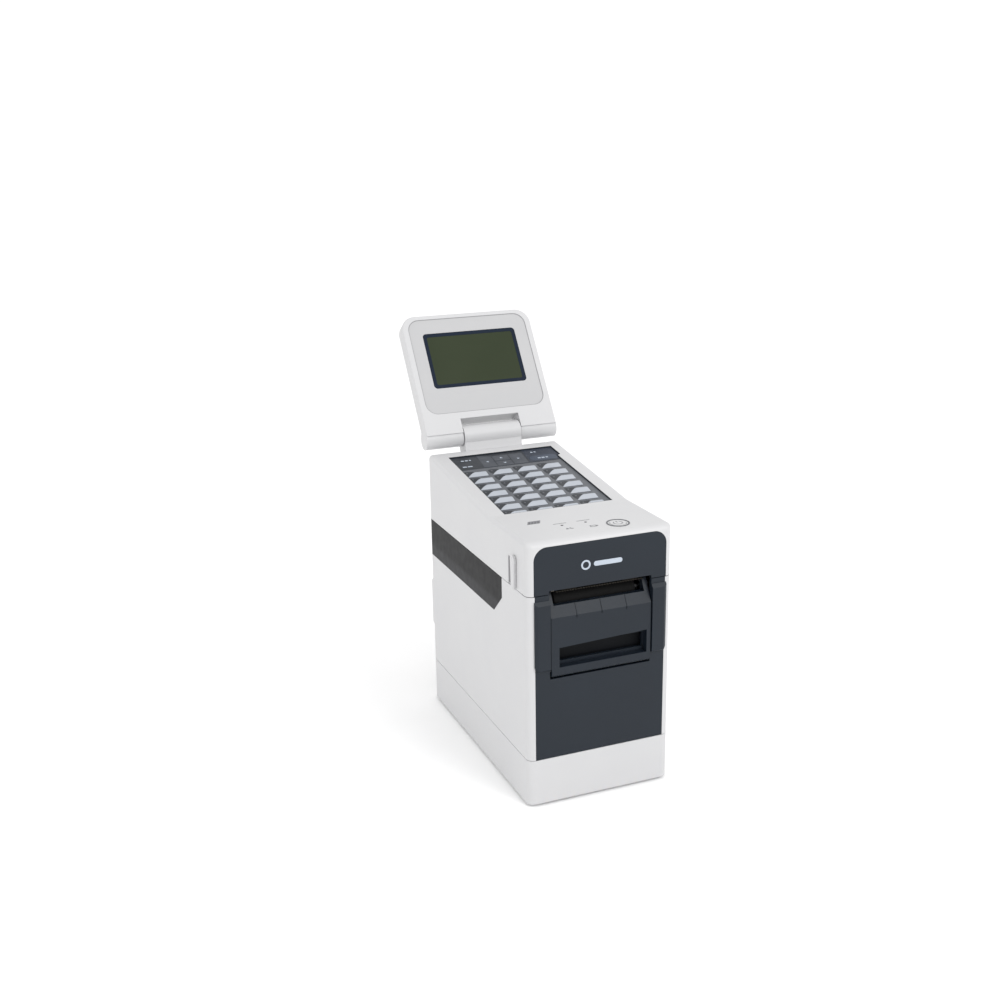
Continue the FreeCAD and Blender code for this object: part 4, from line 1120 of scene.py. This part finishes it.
# ---- Case ---------------------------------------------------------------------------------------
@dataclass
class Case:
    """Fittings of the lower case, in millimetres.

    Attributes:
        rear_y: Rear face.
        vents: Number and pitch of the louvres, and the height of their middle.
        screws: Pitch of the rear screws across and up, and the height of their middle.
        plate: Width, depth and corner radius of the blank plate under the base.
        guide: Width, height and corner radius of the liner guide.
        guide_z: Height of its middle.
        guide_y: Its rear and front faces, forward of the middle.
        corner: Radius of the case's corners.
        shade_strip_rear: Rear end of the black strips of painted shade.
        shade_strip_half: Where they end at the front panel.
        shade_strip_z: Their lower and upper faces, in the gap under the cover.
        shade_strip_width: Width of a strip.
    """

    rear_y: float = 100.0
    vents: tuple[int, float, float] = (9, 4.0, 122.0)
    screws: tuple[float, float, float] = (88.0, 96.0, 94.0)
    plate: tuple[float, float, float] = (56.0, 32.0, 2.0)
    guide: tuple[float, float, float] = (72.0, 30.0, 2.0)
    guide_z: float = 115.0
    guide_y: Point = (90.7, 91.5)
    corner: float = 5.5
    shade_strip_rear: float = -90.0
    shade_strip_half: float = 50.8
    shade_strip_z: Point = (157.36, 157.74)
    shade_strip_width: float = 1.2

    def rear_place(self, z: float) -> Matrix:
        """Frame on the rear face at a height: x to the machine's left, y up, z outwards."""
        upright = Matrix.Rotation(math.pi, 4, "Z") @ Matrix.Rotation(math.pi / 2, 4, "X")
        return Matrix.Translation((0, self.rear_y * MM, z * MM)) @ upright

    def rear_vents(self) -> None:
        """Row of raised louvres above the sockets' housing."""
        count, pitch, height = self.vents
        louvre = slab_mesh([rounded_outline(1.6, 16.0, 0.75, steps=4)], -0.2, 0.9, 0.3)
        mesh = Repeat(count, 1, pitch, 1.0).mesh(louvre, WHITE_ABS)
        piece("rear_louvres", mesh, WHITE_ABS, "root", self.rear_place(height))

    def rear_screws(self) -> None:
        """Two screws low on the rear panel and two high."""
        across, up, height = self.screws
        mesh = Repeat(2, 2, across, up).mesh(screw_head(2.8, 0.8), STEEL)
        piece("rear_screws", mesh, STEEL, "root", self.rear_place(height))

    def blank_plate(self) -> None:
        """Blank plate under the base."""
        mesh = slab_mesh([rounded_outline(*self.plate)], -0.12, 0.08)
        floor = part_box("base_housing")[0].z
        under = Matrix.Translation((0, 0, floor)) @ Matrix.Rotation(math.pi, 4, "X")
        piece("blank_plate", mesh, ALUMINIUM, "root", under)

    def liner_guide(self) -> None:
        """Black plate behind the door's outlet, which turns the liner outwards."""
        mesh = slab_mesh([rounded_outline(*self.guide, (0, self.guide_z))], *self.guide_y, 0.2)
        piece("liner_guide", mesh, GUIDE, "root", Matrix.Rotation(math.pi / 2, 4, "X"))

    def seam_shade_strips(self) -> None:
        """Painted shade: a black strip in the gap under the cover, round each front corner, which darkens the
        seam.
        """
        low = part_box("cover_shell")[0] / MM
        centre, path = (low.x + self.corner, low.y + self.corner), []
        for inset, order in ((0.0, 1), (self.shade_strip_width, -1)):
            line = [(low.x + inset, self.shade_strip_rear), *arc(centre, self.corner - inset, 180, 90, 6),
                    (-self.shade_strip_half, low.y + inset)]
            path += line[::order]
        mesh = slab_mesh([path, [(-x, y) for x, y in path[::-1]]], *self.shade_strip_z)
        # The strips take the black rubber finish as painted shade in the seam.
        piece("seam_shade_strips", mesh, RUBBER, "root")

    def build(self) -> None:
        """Make the case's fittings."""
        self.seam_shade_strips()
        self.liner_guide()
        self.rear_vents()
        self.rear_screws()
        self.blank_plate()


# ---- Stage --------------------------------------------------------------------------------------
@dataclass
class Stage:
    """Floor, light and camera.

    Attributes:
        eye: Camera place, in metres.
        heading: Degrees to the right of +Y.
        dip: Degrees below level.
        roll: Degrees about the view axis.
        lens: Focal length on a 36 mm sensor.
        floor_size: Side of the floor, in metres.
        surround: Strength of the white surround.
        lights: Name of each light to its place, its width in metres and its watts.
    """

    eye: tuple[float, float, float] = (-0.3648, -0.8306, 0.4636)
    heading: float = 21.76
    dip: float = 16.64
    roll: float = -0.97
    lens: float = 45.8
    floor_size: float = 12.0
    surround: float = 1.06
    lights: dict[str, tuple] = field(default_factory=lambda: {
        "front_light": ((0.72, -1.8, 1.65), 1.0, 18.0),
        "left_light": ((-2.4, -0.2, 1.0), 1.8, 7.0),
    })

    def camera(self) -> None:
        """Set the camera from its place and angles."""
        yaw, pitch, roll = (math.radians(a) for a in (self.heading, self.dip, self.roll))
        ahead = Vector((math.sin(yaw) * math.cos(pitch), math.cos(yaw) * math.cos(pitch), -math.sin(pitch)))
        right = Vector((math.cos(yaw), -math.sin(yaw), 0))
        up = right.cross(ahead)
        right_rolled = right * math.cos(roll) + up * math.sin(roll)
        up_rolled = up * math.cos(roll) - right * math.sin(roll)
        turn = Matrix((right_rolled, up_rolled, -ahead)).transposed().to_4x4()
        data = bpy.data.cameras.new("camera")
        data.lens = self.lens
        data.sensor_width = 36.0
        data.clip_start = 0.01
        camera = bpy.data.objects.new("camera", data)
        camera.matrix_world = Matrix.Translation(self.eye) @ turn
        bpy.context.scene.collection.objects.link(camera)
        bpy.context.scene.camera = camera

    def floor(self) -> None:
        """Plain pale floor."""
        side = self.floor_size / MM
        mesh = slab_mesh([rounded_outline(side, side, 10.0, steps=2)], -20.0, 0.0)
        floor = bpy.data.objects.new("floor", mesh)
        mesh.materials.append(FLOOR.material())
        bpy.context.scene.collection.objects.link(floor)

    def light(self) -> None:
        """Large soft lights and a bright surround."""
        target = Vector((0, 0, 0.16))
        for name, (place, size, power) in self.lights.items():
            data = bpy.data.lights.new(name, "AREA")
            data.shape = "DISK"
            data.size = size
            data.energy = power
            lamp = bpy.data.objects.new(name, data)
            lamp.location = place
            lamp.rotation_euler = (target - Vector(place)).to_track_quat("-Z", "Y").to_euler()
            bpy.context.scene.collection.objects.link(lamp)
        world = bpy.data.worlds.new("surround")
        bpy.context.scene.world = world
        world.use_nodes = True
        tree = world.node_tree
        tree.nodes.clear()
        glow = add_node(tree, "ShaderNodeBackground", None, {
            "Color": linear("ffffff"), "Strength": self.surround})
        add_node(tree, "ShaderNodeOutputWorld", None, {"Surface": glow.outputs[0]})

    def build(self) -> None:
        """Set the stage, with colours shown as they are given."""
        bpy.context.scene.view_settings.view_transform = "Standard"
        self.camera()
        self.floor()
        self.light()


def main() -> None:
    """Dress the frame and make every piece."""
    logging.basicConfig(level=logging.INFO, format="%(name)s: %(message)s")
    Stage().build()
    dress_frame()
    for assembly in (Keypad(), FrontStrip(), Display(), HeadSprings(), Case()):
        assembly.build()
        LOG.info("%s done", type(assembly).__name__)


if __name__ == "__main__":
    main()
